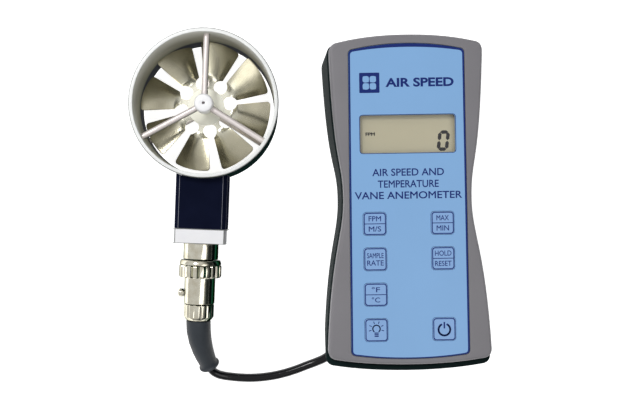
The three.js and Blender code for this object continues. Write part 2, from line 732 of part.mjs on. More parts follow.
// Bayonet nut: bevelled shoulder, notched grip and a sleeve with the stud's L-shaped slot.
function couplingRing() {
  const grip = new THREE.Shape();
  const steps = GRIP.notches * 4;
  for (let i = 0; i < steps; i += 1) {
    const radius = i % 4 === 0 ? GRIP.radius - 0.6 : GRIP.radius;
    const angle = ((i + (i % 4 === 1 ? -0.3 : 0) + (i % 4 === 3 ? 0.3 : 0)) / steps) * Math.PI * 2;
    const [x, y] = [radius * Math.cos(angle), radius * Math.sin(angle)];
    if (i === 0) grip.moveTo(x, y);
    else grip.lineTo(x, y);
  }
  const knurl = plate(grip, GRIP.start, GRIP.end);
  knurl.rotateX(Math.PI / 2).translate(0, 0, PROBE_AXIS_HEIGHT);
  const body = turnedAlongStem([
    [0, 74.1], [9.5, 74.1], [GRIP.radius - 0.2, GRIP.start - 0.7], [GRIP.radius - 0.2, GRIP.start + 0.2],
    [SLEEVE.radius, GRIP.start + 0.2], [SLEEVE.radius, SLEEVE.end], [0, SLEEVE.end],
  ], 24);
  const bore = turnedAlongStem([
    [0, 73], [6.3, 73], [6.3, COLLAR.start - SEAM], [COLLAR.radius + 0.4, COLLAR.start - SEAM],
    [COLLAR.radius + 0.4, COLLAR.end + 0.5], [SLEEVE.bore, COLLAR.end + 0.5],
    [SLEEVE.bore, SLEEVE.end + 1], [0, SLEEVE.end + 1],
  ], 24);
  const halfSlot = SLOT_WIDTH / 2;
  const channel = block(
    -9, -4, -SLEEVE.end - 1, halfSlot - STUD_DISTANCE,
    PROBE_AXIS_HEIGHT - halfSlot, PROBE_AXIS_HEIGHT + halfSlot,
  );
  const branch = [];
  const boxes = 6;
  for (let i = 1; i <= boxes; i += 1) {
    const step = block(
      -9, -4, -STUD_DISTANCE - halfSlot, -STUD_DISTANCE + halfSlot, -halfSlot, halfSlot,
    );
    const turn = -THREE.MathUtils.degToRad((COUPLING_TURN * i) / boxes);
    branch.push(step.rotateY(turn).translate(0, 0, PROBE_AXIS_HEIGHT));
  }
  return cut(joined(body, knurl), bore, channel, ...branch);
}

function jackBody() {
  return turnedAlongStem([
    [JACK.bore, JACK.start], [JACK.radius, JACK.start], [JACK.radius, JACK.end],
    [2, JACK.end], [2, JACK.seat], [JACK.bore, JACK.seat],
  ], 24);
}

function bayonetStud() {
  const stud = turned([[0, 5.7], [1.3, 5.7], [1.3, 7.7], [2, 7.7], [2, 9.7], [1.4, 10.3], [0, 10.3]], 16);
  return stud.rotateY(-Math.PI / 2).translate(0, -STUD_DISTANCE, PROBE_AXIS_HEIGHT);
}

function backNut() {
  return turnedAlongStem([
    [1.8, JACK.end + 0.2], [7.3, JACK.end + 0.2], [7.3, CONNECTOR_END - 1.6],
    [6.2, CONNECTOR_END], [1.8, CONNECTOR_END],
  ], 12);
}

const rodAlongStem = (radius, from, to) => (
  turnedAlongStem([[0, from], [radius, from], [radius, to], [0, to]], 16)
);

addPart('plug_body', plugBody(), NICKEL, probe);
addPart('plug_insulator', rodAlongStem(2.9, 72, 86.5), BLACK_PLASTIC, probe);
addPart('coupling_ring', couplingRing(), NICKEL, probe);
addPart('jack_body', jackBody(), NICKEL, probe);
addPart('bayonet_stud', bayonetStud(), NICKEL, probe);
addPart('back_nut', backNut(), NICKEL, probe);

// ---------------------------------------------------------------- boot and cable

// Points on the probe's connector axis, in the anemometer's frame.
function onConnectorAxis(distance) {
  const along = new THREE.Vector3(0, -distance, PROBE_AXIS_HEIGHT);
  along.applyAxisAngle(new THREE.Vector3(0, 0, 1), PROBE_LEAN);
  return along.add(new THREE.Vector3(RING_CENTRE[0], RING_CENTRE[1], 0));
}

const CABLE_START = new THREE.Vector3(-95, -81.7, 5.6);
const cableStartWay = new THREE.Vector3(0.33, -0.86, -0.39).normalize();
const LIP_LENGTH = 2.5;

// Moulded boot: tapers as it bends from the back nut down to the table, ending in a flared lip.
function cableBoot() {
  const start = onConnectorAxis(CONNECTOR_END + SEAM);
  const outWay = new THREE.Vector3().subVectors(onConnectorAxis(1), onConnectorAxis(0));
  const end = CABLE_START.clone().addScaledVector(cableStartWay, -SEAM);
  const bend = new THREE.CubicBezierCurve3(
    start, start.clone().addScaledVector(outWay, 9),
    end.clone().addScaledVector(cableStartWay, -9), end,
  );
  const lipStart = 1 - LIP_LENGTH / bend.getLength();
  const stations = [
    [0, 6], [0.2, 5.9], [0.4, 5.6], [0.6, 5.2], [0.75, 4.85], [lipStart - 0.03, 4.5],
    [lipStart + 0.02, 5.1], [0.99, 5.15], [1, 4.7],
  ];
  const sides = 16;
  const across = new THREE.Vector3();
  const rings = stations.map(([share, radius]) => {
    const centre = bend.getPointAt(share);
    const along = bend.getTangentAt(share);
    across.crossVectors(along, new THREE.Vector3(0, 0, 1)).normalize();
    const up = new THREE.Vector3().crossVectors(across, along);
    return Array.from({ length: sides }, (_, i) => {
      const angle = (i / sides) * Math.PI * 2;
      return centre.clone()
        .addScaledVector(across, radius * Math.cos(angle))
        .addScaledVector(up, radius * Math.sin(angle));
    });
  });
  return loft(rings, (p) => new THREE.Vector2(p.x, p.z));
}

// The cable's route over the table, from the boot to the gland.
const cableRoute = new THREE.CatmullRomCurve3([
  CABLE_START,
  CABLE_START.clone().addScaledVector(cableStartWay, 2.4),
  new THREE.Vector3(-91.7, -86, 3.6),
  new THREE.Vector3(-88.6, -87.2, 2.8),
  new THREE.Vector3(-84.9, -87.9, 2.3),
  new THREE.Vector3(-79.7, -88.5, 2.15),
  new THREE.Vector3(-73.4, -88.7, 2.15),
  new THREE.Vector3(-66.4, -88.2, 2.15),
  new THREE.Vector3(-59.4, -87, 2.15),
  new THREE.Vector3(-52.3, -85, 2.15),
  new THREE.Vector3(-46.3, -82.8, 2.3),
  new THREE.Vector3(-41.4, -80.9, 2.9),
  new THREE.Vector3(-37.6, -79, 4),
  alongGland(3.6),
  alongGland(0.4),
], false, 'centripetal');

function cable() {
  const sides = 8;
  const section = new THREE.Shape();
  for (let i = 0; i < sides; i += 1) {
    const angle = (i / sides) * Math.PI * 2;
    const [x, y] = [CABLE_RADIUS * Math.cos(angle), CABLE_RADIUS * Math.sin(angle)];
    if (i === 0) section.moveTo(x, y);
    else section.lineTo(x, y);
  }
  return new THREE.ExtrudeGeometry(section, { steps: 24, extrudePath: cableRoute, bevelEnabled: false });
}

addPart('cable_boot', cableBoot(), RUBBER);
addPart('cable', cable(), GLOSSY_BLACK);

export default anemometer;
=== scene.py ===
"""Looks of a handheld vane anemometer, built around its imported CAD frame.

Shapes are written in millimetres, in the CAD model's own frame, and scaled to metres as they are made.
"""

import math

import bmesh
import bpy
from mathutils import Matrix, Vector


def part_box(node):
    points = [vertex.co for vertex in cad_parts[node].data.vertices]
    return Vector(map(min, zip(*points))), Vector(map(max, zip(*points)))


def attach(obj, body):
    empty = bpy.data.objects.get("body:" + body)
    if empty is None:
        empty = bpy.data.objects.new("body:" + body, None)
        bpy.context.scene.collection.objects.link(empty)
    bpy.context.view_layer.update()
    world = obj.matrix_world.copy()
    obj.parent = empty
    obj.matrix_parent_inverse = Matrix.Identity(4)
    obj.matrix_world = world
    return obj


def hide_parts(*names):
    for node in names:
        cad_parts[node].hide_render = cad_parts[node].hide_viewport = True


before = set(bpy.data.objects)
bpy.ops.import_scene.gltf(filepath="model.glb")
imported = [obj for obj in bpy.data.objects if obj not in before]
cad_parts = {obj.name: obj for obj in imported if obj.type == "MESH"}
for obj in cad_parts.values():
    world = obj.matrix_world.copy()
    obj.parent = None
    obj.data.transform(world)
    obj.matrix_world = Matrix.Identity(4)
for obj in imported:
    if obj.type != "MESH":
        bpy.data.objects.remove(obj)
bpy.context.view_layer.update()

MM = 0.001
UP = Vector((0, 0, 1))

# ---------------------------------------- driving dimensions, in mm and degrees

METER_HEIGHT = 35
PARTING_HEIGHT = 29.4
RECESS_FLOOR = 34
WEB_BOTTOM = 32.2
FLOOR_THICKNESS = 3
WALL = 2.4
SEAM = 0.3
WAIST_HEIGHT = 0
SIDE_TOP = 66
FACE = dict(top_half=35.3, waist_half=29.5, bottom_half=37.7, top_end=76.1, bottom_end=-76.2,
            top_drop=3.8, bottom_drop=2.9, corner=4)
REAR_RIM = dict(top_half=36, waist_half=30, bottom_half=38.5, top_end=76.4, bottom_end=-80.1,
                top_drop=3.9, bottom_drop=3, corner=4)
REAR_BACK = dict(top_half=36.6, waist_half=29.5, bottom_half=37, top_end=75.7, bottom_end=-73,
                 top_drop=3.9, bottom_drop=3.2, corner=5)
FACEPLATE = dict(top_half=26.6, waist_half=26.9, bottom_half=27.2, top_end=71.7, bottom_end=-73.3,
                 top_drop=2.8, bottom_drop=1.9, corner=2)
# Inner edge of the navy border. The border's extra width at the top is painted shadow of the recess.
CLEAR_FILM = dict(top_half=25.8, waist_half=26.1, bottom_half=26.4, top_end=70.1, bottom_end=-72.8,
                  top_drop=2, bottom_drop=1.9, corner=1.6)
FACEPLATE_TOP = RECESS_FLOOR + 0.75
PRINT = 0.03
DISPLAY = dict(x=0.2, y=30.1, width=43.8, height=17.4, corner=1.2)
KEY_SIZE = 10.6
KEY_CORNER = 1.5
KEY_COLUMN = 15.6
FIRST_KEY_ROW = -11.1
KEY_PITCH = 16.3
KEY_TOP = 35
KEYHOLE_RADIUS = 3.3
PLUNGER_RADIUS = 3
MARK_CENTRE = (-17.1, 53.8)
DIGIT = dict(centre=(17.3, 27), half_width=1.9, half_height=3.95, bar=1.6)
SCREW = dict(head=2.8, shank=1.4, tower=3.8, hole=1.8, counterbore=3.1)
CASE_SCREWS = [(-27, 60), (27, 60), (-27, -54), (27, -54)]
BATTERY = dict(width=26.5, length=45.5, top_end=-17.5)
DOOR = dict(half_width=16.7, top_end=-12.8, bottom=0.15, top=1.6)

RING_CENTRE = (-93.9, 46.4)
PROBE_LEAN = math.radians(-3)
PROBE = Matrix.Translation((*RING_CENTRE, 0)) @ Matrix.Rotation(PROBE_LEAN, 4, "Z")
RING_OUTER = 35
RING_INNER = 33
RING_DEPTH = 32
AXIS_HEIGHT = 16
SENSOR_HOLES = [(0, AXIS_HEIGHT, 2.3), (7, 10, 1.3)]
STRUT_HEIGHT = 27
STRUT_RADIUS = 1.5
HUB_RADIUS = 4.45
ROTOR_HUB = dict(radius=3.2, bore=0.75, low=10, high=22.2)
BLADE_COUNT = 8
BLADE_ROOT = 9
BLADE_SHOULDER = 15.8
BLADE_TIP = 31.1
TIP_ROUNDING = 1.6
NECK_RADIUS = 12
BLADE_HALF_ANGLE = 17.4
BLADE_PITCH = 26
BLADE_THICKNESS = 0.5
FIRST_BLADE_ANGLE = 33.6
STEM_WIDTH = 24.5
STEM_THICKNESS = 22
STEM_END = 58.9
STEM_BORE = (19.5, 17)
BAND_END = 65.9
STUD_DISTANCE = 90.4
SLOT_WIDTH = 3.2
COUPLING_TURN = 50
CONNECTOR_END = 103.2
CABLE_RADIUS = 2.1
GRIP = dict(radius=10.25, start=76.5, end=82.5, notches=20)
SLEEVE = dict(radius=7.45, bore=5.95, end=95.2)
NUT = dict(radius=7.3, start=95.6, flutes=14)
GLAND_MOUTH = Vector((-31.5, -73.6, 5))
GLAND_HEADING = math.radians(225)
GLAND = dict(boss=4.8, counterbore=4.6, bore=3.3)
gland_way = Vector((math.cos(GLAND_HEADING), math.sin(GLAND_HEADING), 0))

OUTLINE_STEPS = 16
FILLET_STEPS = 4
ARC_STEPS = 20
CORNER_STEPS = 8
CONNECTOR_SIDES = 96
BEVEL_ANGLE = 35
SMOOTH_ANGLE = 32


# ---------------------------------------- camera, floor and light


def add_camera():
    data = bpy.data.cameras.new("camera")
    data.sensor_width = 36
    data.lens = 40.9
    data.shift_x = 0.07
    data.shift_y = -0.003
    data.clip_start = 0.01
    camera = bpy.data.objects.new("camera", data)
    camera.location = (-0.06326, -0.00311, 0.364)
    camera.rotation_euler = (0, 0, math.radians(-0.9))
    bpy.context.collection.objects.link(camera)
    bpy.context.scene.camera = camera


def link(name, mesh):
    piece = bpy.data.objects.new(name, mesh)
    bpy.context.collection.objects.link(piece)
    return piece


def add_light(name, place, size, power):
    data = bpy.data.lights.new(name, "AREA")
    data.shape = "RECTANGLE"
    data.size, data.size_y = size
    data.energy = power
    light = bpy.data.objects.new(name, data)
    light.location = place
    light.rotation_euler = (-Vector(place)).to_track_quat("-Z", "Y").to_euler()
    bpy.context.collection.objects.link(light)


def fill(tree, node, values):
    """Sets a node's inputs, and links each one that is given another node's output."""
    for socket, value in values.items():
        if isinstance(value, bpy.types.NodeSocket):
            tree.links.new(value, node.inputs[socket])
        else:
            node.inputs[socket].default_value = value


def add_node(tree, kind, values=(), **settings):
    node = tree.nodes.new("ShaderNode" + kind)
    for name, setting in settings.items():
        setattr(node, name, setting)
    fill(tree, node, dict(values))
    return node


def add_world():
    """Soft surroundings, darker low down and towards +X."""
    world = bpy.data.worlds.new("studio")
    bpy.context.scene.world = world
    world.use_nodes = True
    tree = world.node_tree
    way = add_node(tree, "SeparateXYZ", {0: add_node(tree, "TexCoord").outputs["Generated"]})
    side = add_node(tree, "Math", {0: way.outputs["X"], 1: -0.55, 2: way.outputs["Z"]},
                    operation="MULTIPLY_ADD")
    ramp = add_node(tree, "ValToRGB", {"Fac": side.outputs[0]})
    low, high = ramp.color_ramp.elements
    low.position = 0.12
    low.color = (0.04, 0.05, 0.05, 1)
    high.position = 0.65
    high.color = (1, 1, 1, 1)
    fill(tree, tree.nodes["Background"], {"Color": ramp.outputs["Color"], "Strength": 0.62})


def add_floor():
    mesh = bpy.data.meshes.new("floor")
    half = 3
    z = -0.0002
    corners = [(-half, -half, z), (half, -half, z), (half, half, z), (-half, half, z)]
    mesh.from_pydata(corners, [], [(0, 1, 2, 3)])
    floor = link("floor", mesh)
    paint = bpy.data.materials.new("floor_white")
    paint.use_nodes = True
    fill(paint.node_tree, paint.node_tree.nodes["Principled BSDF"], {
        "Base Color": (0.9, 0.9, 0.9, 1), "Roughness": 0.9, "Specular IOR Level": 0.1,
        "Emission Color": (1, 1, 1, 1), "Emission Strength": 0.85,
    })
    mesh.materials.append(paint)


add_camera()
add_world()
add_floor()
add_light("key", (-0.42, 0.4, 0.8), (0.26, 0.26), 3.2)
add_light("fill", (0.3, -0.2, 0.85), (0.6, 0.4), 1.2)
bpy.context.scene.view_settings.view_transform = "Standard"


# ---------------------------------------- materials


def finish(
    name, colour, roughness, metallic=0.0, grain=0.3, stretch=(1, 1, 1), bump=0.1,
    mottle=0.08, mottle_size=9.0, rough_spread=0.08, coat=0.0, alpha=1.0, spec=0.5, tint=None,
    rim=(1, 1, 1),
):
    """Principled material with fine grain in its bump and roughness, and broad soft mottling in its
    colour. grain and mottle_size are in millimetres; stretch squeezes the grain along an axis; rim
    is the tint of a reflection at a shallow angle."""
    made = bpy.data.materials.new(name)
    made.use_nodes = True
    tree = made.node_tree
    place = add_node(tree, "TexCoord").outputs["Object"]
    squeezed = add_node(tree, "Mapping", {"Scale": stretch, "Vector": place}).outputs["Vector"]
    fine = add_node(tree, "TexNoise", {"Scale": 1 / (grain * MM), "Detail": 3, "Vector": squeezed})
    broad = add_node(tree, "TexNoise", {"Scale": 1 / (mottle_size * MM), "Detail": 2, "Vector": place})
    dark = [c * (1 - mottle) for c in colour]
    light = [min(1.0, c * (1 + mottle)) for c in (tint or colour)]
    shade = add_node(tree, "Mix", {
        "A": (*dark, 1), "B": (*light, 1), "Factor": broad.outputs["Fac"],
    }, data_type="RGBA")
    gloss = add_node(tree, "MapRange", {
        "To Min": max(0.02, roughness - rough_spread), "To Max": min(1.0, roughness + rough_spread),
        "Value": fine.outputs["Fac"],
    })
    relief = add_node(tree, "Bump", {
        "Strength": bump, "Distance": 0.1 * MM, "Height": fine.outputs["Fac"],
    })
    fill(tree, tree.nodes["Principled BSDF"], {
        "Base Color": shade.outputs["Result"], "Roughness": gloss.outputs["Result"],
        "Normal": relief.outputs["Normal"], "Metallic": metallic, "Alpha": alpha,
        "Specular IOR Level": spec, "Specular Tint": (*rim, 1),
        "Coat Weight": coat, "Coat Roughness": 0.12,
    })
    return made


GREY_CASE = finish("grey_case", (0.212, 0.205, 0.22), 0.5, grain=0.35, bump=0.3, mottle=0.09,
                   mottle_size=30, spec=0.4)
DARK_CASE = finish("dark_case", (0.006, 0.014, 0.014), 0.7, grain=0.35, bump=0.2, mottle=0.2, spec=0.04)
BLUE_FILM = finish("blue_film", (0.225, 0.44, 0.76), 0.42, grain=0.25, mottle=0.035, mottle_size=22)
KEY_FILM = finish("key_film", (0.235, 0.42, 0.75), 0.42, grain=0.25, mottle=0.035)
NAVY_INK = finish("navy_ink", (0.008, 0.024, 0.17), 0.5, grain=0.2, bump=0.05, mottle=0.06, spec=0.15)
WINDOW = finish("window", (0.9, 0.92, 0.9), 0.05, grain=2, bump=0.01, alpha=0.03, mottle=0.0,
                rough_spread=0.02, spec=0.1)
LCD_BACK = finish("lcd_back", (0.50, 0.455, 0.31), 0.35, grain=0.15, bump=0.02, mottle=0.03,
                  mottle_size=14)
LCD_INK = finish("lcd_ink", (0.006, 0.004, 0.007), 0.5, grain=0.2, bump=0.02, spec=0.05)
BLACK_PLASTIC = finish("black_plastic", (0.015, 0.015, 0.017), 0.45, bump=0.2)
WHITE_PLASTIC = finish("white_plastic", (0.8, 0.8, 0.78), 0.4)
BOARD = finish("board", (0.015, 0.13, 0.05), 0.3, grain=0.8, bump=0.2, mottle=0.25, mottle_size=3)
STEM_PAINT = finish("stem_paint", (0.006, 0.008, 0.022), 0.5, bump=0.12, mottle=0.25, spec=0.0)
# Light grey metal for the stem's edge roundings: a painted highlight along the chamfers. Its dark rim tint
# dims reflections at shallow angles, as painted shade.
EDGE_HIGHLIGHT_AND_SHADE = finish("edge_painted_highlight_and_shade", (0.3, 0.31, 0.36), 0.4, metallic=0.6, spec=0.1, rim=(0.3, 0.3, 0.35))
STRUT_METAL = finish("strut_metal", (0.86, 0.79, 0.77), 0.4, metallic=0.4, mottle=0.05)
# Near-black green with no specular for the metal ring's outer wall: painted shade.
RING_OUTER_SHADE = finish("ring_outer_painted_shade", (0.006, 0.018, 0.016), 0.6, stretch=(1, 1, 6), mottle=0.15, spec=0.0)
RING_LIP = finish("ring_lip", (0.85, 0.86, 0.85), 0.6, metallic=0.5, bump=0.12, mottle=0.05)
# Dark grey metal for the ring lip's outer rounding and the band's roundings: painted shade on the edges.
EDGE_SHADE_METAL = finish("edge_painted_shade", (0.3, 0.31, 0.3), 0.5, metallic=0.5, mottle=0.06)
HUB_METAL = finish("hub_metal", (0.93, 0.93, 0.94), 0.45, metallic=0.25, mottle=0.04, spec=0.2)
DISC_METAL = finish("disc_metal", (0.94, 0.92, 0.8), 0.45, metallic=0.25, mottle=0.1, mottle_size=3,
                    spec=0.2)
# Aluminium blades coloured dark olive-tan, with broad dark and light tan blotches: painted reflection of dark
# and bright surroundings.
BLADE_METAL = finish("blade_metal", (0.3, 0.275, 0.19), 0.24, metallic=0.95, grain=0.25, bump=0.08,
                     mottle=0.25, mottle_size=14, tint=(0.7, 0.66, 0.5))
BAND_METAL = finish("band_metal", (0.95, 0.95, 0.99), 0.36, metallic=0.7, grain=0.25,
                    stretch=(0.06, 1, 1), bump=0.25, mottle=0.05)
# The nickel's dark green rim tint is painted shade. It darkens reflections at shallow angles.
NICKEL = finish("nickel", (0.66, 0.58, 0.43), 0.14, metallic=1.0, grain=0.5, bump=0.04, mottle=0.12,
                mottle_size=4, rough_spread=0.05, tint=(0.98, 0.92, 0.78), rim=(0.15, 0.17, 0.12))
STEEL = finish("steel", (0.55, 0.56, 0.58), 0.3, metallic=1.0)
JEWEL = finish("jewel", (0.45, 0.01, 0.05), 0.08, grain=1, bump=0.0, coat=0.5)
BOOT_RUBBER = finish("boot_rubber", (0.036, 0.043, 0.052), 0.5, bump=0.2, mottle=0.15, spec=0.3)
CABLE_JACKET = finish("cable_jacket", (0.0025, 0.0025, 0.004), 0.12, grain=2.4, bump=0.8,
                      mottle=0.2, spec=0.35)
BATTERY_CAN = finish("battery_can", (0.04, 0.06, 0.09), 0.3, metallic=0.5, grain=0.4)


def blend_colour(made, other, value, low, high):
    """Blends the colour towards another one as a value falls from high to low."""
    tree = made.node_tree
    colour_in = tree.nodes["Principled BSDF"].inputs["Base Color"]
    amount = add_node(tree, "MapRange", {"From Min": low, "From Max": high, "Value": value},
                      interpolation_type="SMOOTHSTEP")
    blend = add_node(tree, "Mix", {
        "A": (*other, 1), "B": colour_in.links[0].from_socket, "Factor": amount.outputs["Result"],
    }, data_type="RGBA")
    tree.links.new(blend.outputs["Result"], colour_in)


def paint_side_shade(made, side, low, high, lean=0.0):
    """Painted shade: a darker colour where a surface turns away from the top, and sooner where it turns
    towards +X, by the share lean."""
    tree = made.node_tree
    normal = add_node(tree, "NewGeometry").outputs["Normal"]
    facing = add_node(tree, "VectorMath", {0: normal, 1: (-lean, 0, 1)}, operation="DOT_PRODUCT")
    blend_colour(made, side, facing.outputs["Value"], low, high)


def paint_root_highlight(made, root, start, end):
    """Painted highlight: a lighter colour near the impeller's axis, fading out between two radii in mm."""
    tree = made.node_tree
    place = add_node(tree, "TexCoord").outputs["Object"]
    to_axis = (-RING_CENTRE[0] * MM, -RING_CENTRE[1] * MM, 0)
    flat = add_node(tree, "VectorMath", operation="MULTIPLY_ADD")
    fill(tree, flat, {0: place, 1: (1, 1, 0), 2: to_axis})
    reach = add_node(tree, "VectorMath", {0: flat.outputs["Vector"]}, operation="LENGTH")
    blend_colour(made, root, reach.outputs["Value"], start * MM, end * MM)


def grade_by_height(made, stops):
    """Replaces the colour by one that changes with height, from (height in mm, colour) pairs."""
    tree = made.node_tree
    place = add_node(tree, "TexCoord").outputs["Object"]
    level = add_node(tree, "SeparateXYZ", {0: place}).outputs["Z"]
    share = add_node(tree, "Math", {0: level, 1: 1 / (RING_DEPTH * MM)}, operation="MULTIPLY")
    ramp = add_node(tree, "ValToRGB", {"Fac": share.outputs[0]})
    knots = ramp.color_ramp.elements
    for knot, (height, colour) in zip((knots[0], knots[1]), (stops[0], stops[-1])):
        knot.position = height / RING_DEPTH
        knot.color = (*colour, 1)
    for height, colour in stops[1:-1]:
        knots.new(height / RING_DEPTH).color = (*colour, 1)
    tree.links.new(ramp.outputs["Color"], tree.nodes["Principled BSDF"].inputs["Base Color"])


# Ring's inner wall: near black below the impeller, brightening towards the front lip. This is painted shade
# and painted light on a metal wall.
INNER_WALL_SHADE = finish("inner_wall_painted_shade", (0.4, 0.4, 0.4), 0.7, stretch=(1, 1, 6), spec=0.03)
grade_by_height(INNER_WALL_SHADE, [
    (0, (0.003, 0.005, 0.01)), (10, (0.004, 0.006, 0.012)), (12, (0.14, 0.14, 0.1)),
    (20, (0.34, 0.33, 0.27)), (31, (0.85, 0.85, 0.8)),
])
# Painted shade: nickel goes dark green where it turns away from the top, sooner on the +X side.
paint_side_shade(NICKEL, (0.02, 0.05, 0.035), 0.15, 0.75, lean=0.5)
# Painted highlight: blades turn light cream near the axis.
paint_root_highlight(BLADE_METAL, (0.94, 0.92, 0.78), 10, 20)
# Painted shade on the stem's edge roundings where they turn away from the top.
paint_side_shade(EDGE_HIGHLIGHT_AND_SHADE, (0.012, 0.014, 0.02), 0.2, 0.6)
# Painted shade: struts darker on their lower sides, sooner on the +X side.
paint_side_shade(STRUT_METAL, (0.06, 0.07, 0.06), 0.0, 0.72, lean=0.25)
# Painted shade: boot and gland bush darker where they turn away from the top.
paint_side_shade(BOOT_RUBBER, (0.008, 0.01, 0.012), 0.2, 0.95)


# ---------------------------------------- mesh helpers


def smooth(mesh):
    mesh.shade_smooth()
    mesh.set_sharp_from_angle(angle=math.radians(SMOOTH_ANGLE))


def build(name, points, faces, paint, place=None):
    """Object from points in mm, placed by a matrix in mm, with its faces turned outwards."""
    mesh = bpy.data.meshes.new(name)
    moved = [(place @ Vector(p)) if place else Vector(p) for p in points]
    mesh.from_pydata([p * MM for p in moved], [], faces)
    work = bmesh.new()
    work.from_mesh(mesh)
    bmesh.ops.remove_doubles(work, verts=work.verts, dist=1e-7)
    bmesh.ops.recalc_face_normals(work, faces=work.faces)
    work.to_mesh(mesh)
    work.free()
    mesh.materials.append(paint)
    smooth(mesh)
    return link(name, mesh)


def ride(piece, body, slot, *nodes):
    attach(piece, body)
    if nodes:
        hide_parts(*nodes)
    return piece


def polar(radius, angle):
    return radius * math.cos(angle), radius * math.sin(angle)


def ring_faces(rows, count):
    faces = []
    for row in range(rows - 1):
        for i in range(count):
            a = row * count + i
            b = row * count + (i + 1) % count
            faces.append((a, b, b + count, a + count))
    return faces


def loft(rings):
    """Points and faces of a closed skin through equal rings, with one flat face at each end."""
    count = len(rings[0])
    points = [p for ring in rings for p in ring]
    faces = ring_faces(len(rings), count)
    faces.append(tuple(reversed(range(count))))
    faces.append(tuple(range(len(points) - count, len(points))))
    return points, faces


def turned(profile, sides):
    """Points and faces of a profile of (radius, height) turned about Z; closes on itself off the axis."""
    on_axis = profile[0][0] == 0
    points = []
    for radius, height in profile:
        points += [(*polar(radius, 2 * math.pi * i / sides), height) for i in range(sides)]
    faces = ring_faces(len(profile), sides)
    if not on_axis:
        last = (len(profile) - 1) * sides
        for i in range(sides):
            j = (i + 1) % sides
            faces.append((last + i, last + j, j, i))
    return points, [tuple(dict.fromkeys(face)) for face in faces]


def fillet(corner_in, corner, corner_out, radius):
    """Points that round off one corner of a profile."""
    a, b, c = Vector(corner_in), Vector(corner), Vector(corner_out)
    start = b + (a - b).normalized() * radius
    end = b + (c - b).normalized() * radius
    found = []
    for i in range(FILLET_STEPS + 1):
        t = i / FILLET_STEPS
        found.append(tuple(start * (1 - t) ** 2 + b * 2 * t * (1 - t) + end * t * t))
    return found


def rounded_profile(corners, radii, closed):
    found = []
    for i, (corner, radius) in enumerate(zip(corners, radii)):
        if radius == 0 or (not closed and i in (0, len(corners) - 1)):
            found.append(tuple(corner))
            continue
        found += fillet(corners[i - 1], corner, corners[(i + 1) % len(corners)], radius)
    return found


def prism(outline, bottom, top):
    return loft([[(x, y, z) for x, y in outline] for z in (bottom, top)])


def rounded_rectangle(width, height, corner, x, y):
    found = []
    w, h = width / 2 - corner, height / 2 - corner
    for quarter, (sx, sy) in enumerate([(1, 1), (-1, 1), (-1, -1), (1, -1)]):
        for i in range(CORNER_STEPS + 1):
            angle = math.pi / 2 * (quarter + i / CORNER_STEPS)
            found.append((x + sx * w + corner * math.cos(angle), y + sy * h + corner * math.sin(angle)))
    return found


def rod(start, end, radius, sides=32):
    start, end = Vector(start), Vector(end)
    turn = UP.rotation_difference(end - start).to_matrix()
    circle = [turn @ Vector((*polar(radius, 2 * math.pi * i / sides), 0)) for i in range(sides)]
    return loft([[centre + offset for offset in circle] for centre in (start, end)])


def slab(x0, x1, y0, y1, z0, z1):
    return prism([(x0, y0), (x1, y0), (x1, y1), (x0, y1)], z0, z1)


def merged(*solids):
    points, faces = [], []
    for more_points, more_faces in solids:
        start = len(points)
        points += list(more_points)
        faces += [tuple(i + start for i in face) for face in more_faces]
    return points, faces


def combine(piece, operation, solid, place=None, solver="EXACT"):
    """Applies a boolean with a solid, and leaves a plain mesh behind."""
    tool = build("tool", *solid, None, place)
    change = piece.modifiers.new("change", "BOOLEAN")
    change.operation = operation
    change.solver = solver
    change.object = tool
    view = bpy.context.evaluated_depsgraph_get()
    mesh = bpy.data.meshes.new_from_object(piece.evaluated_get(view))
    piece.modifiers.clear()
    old, piece.data = piece.data, mesh
    bpy.data.meshes.remove(old)
    bpy.data.objects.remove(tool)
    smooth(mesh)


def cut(piece, *solids, place=None, solver="EXACT"):
    for solid in solids:
        combine(piece, "DIFFERENCE", solid, place, solver)


def soften(piece, width, segments=3, paint=None):
    """Rounds sharp edges, width in mm, and can give the roundings a finish of their own."""
    edge = piece.modifiers.new("edge", "BEVEL")
    edge.width = width * MM
    edge.segments = segments
    edge.limit_method = "ANGLE"
    edge.angle_limit = math.radians(BEVEL_ANGLE)
    if paint:
        piece.data.materials.append(paint)
        edge.material = len(piece.data.materials) - 1


def sheet(front, back):
    """Points and faces of a thin sheet from a front and a back grid, closed round its edge."""
    rows, columns = len(front), len(front[0])
    size = rows * columns
    points = [p for row in front for p in row] + [p for row in back for p in row]
    faces = []
    for r in range(rows - 1):
        for c in range(columns - 1):
            a = r * columns + c
            faces.append((a, a + columns, a + columns + 1, a + 1))
            faces.append((size + a, size + a + 1, size + a + columns + 1, size + a + columns))
    rim = [(0, c) for c in range(columns)] + [(r, columns - 1) for r in range(1, rows)]
    rim += [(rows - 1, c) for c in range(columns - 2, -1, -1)] + [(r, 0) for r in range(rows - 2, 0, -1)]
    flat = [r * columns + c for r, c in rim]
    for a, b in zip(flat, flat[1:] + flat[:1]):
        faces.append((a, b, b + size, a + size))
    return points, faces


# ---------------------------------------- cable and boot


def along_gland(distance):
    return GLAND_MOUTH + gland_way * distance


def on_connector_axis(distance):
    return PROBE @ Vector((0, -distance, AXIS_HEIGHT))


CABLE_START = Vector((-95, -81.7, 5.6))
cable_start_way = Vector((0.33, -0.86, -0.39)).normalized()
CABLE_ROUTE = [
    CABLE_START,
    CABLE_START + cable_start_way * 2.4,
    (-91.7, -86, 3.6),
    (-88.6, -87.2, 2.8),
    (-84.9, -87.9, 2.3),
    (-79.7, -88.5, 2.15),
    (-73.4, -88.7, 2.15),
    (-66.4, -88.2, 2.15),
    (-59.4, -87, 2.15),
    (-52.3, -85, 2.15),
    (-46.3, -82.8, 2.3),
    (-41.4, -80.9, 2.9),
    (-37.6, -79, 4),
    along_gland(3.6),
    along_gland(0.4),
]


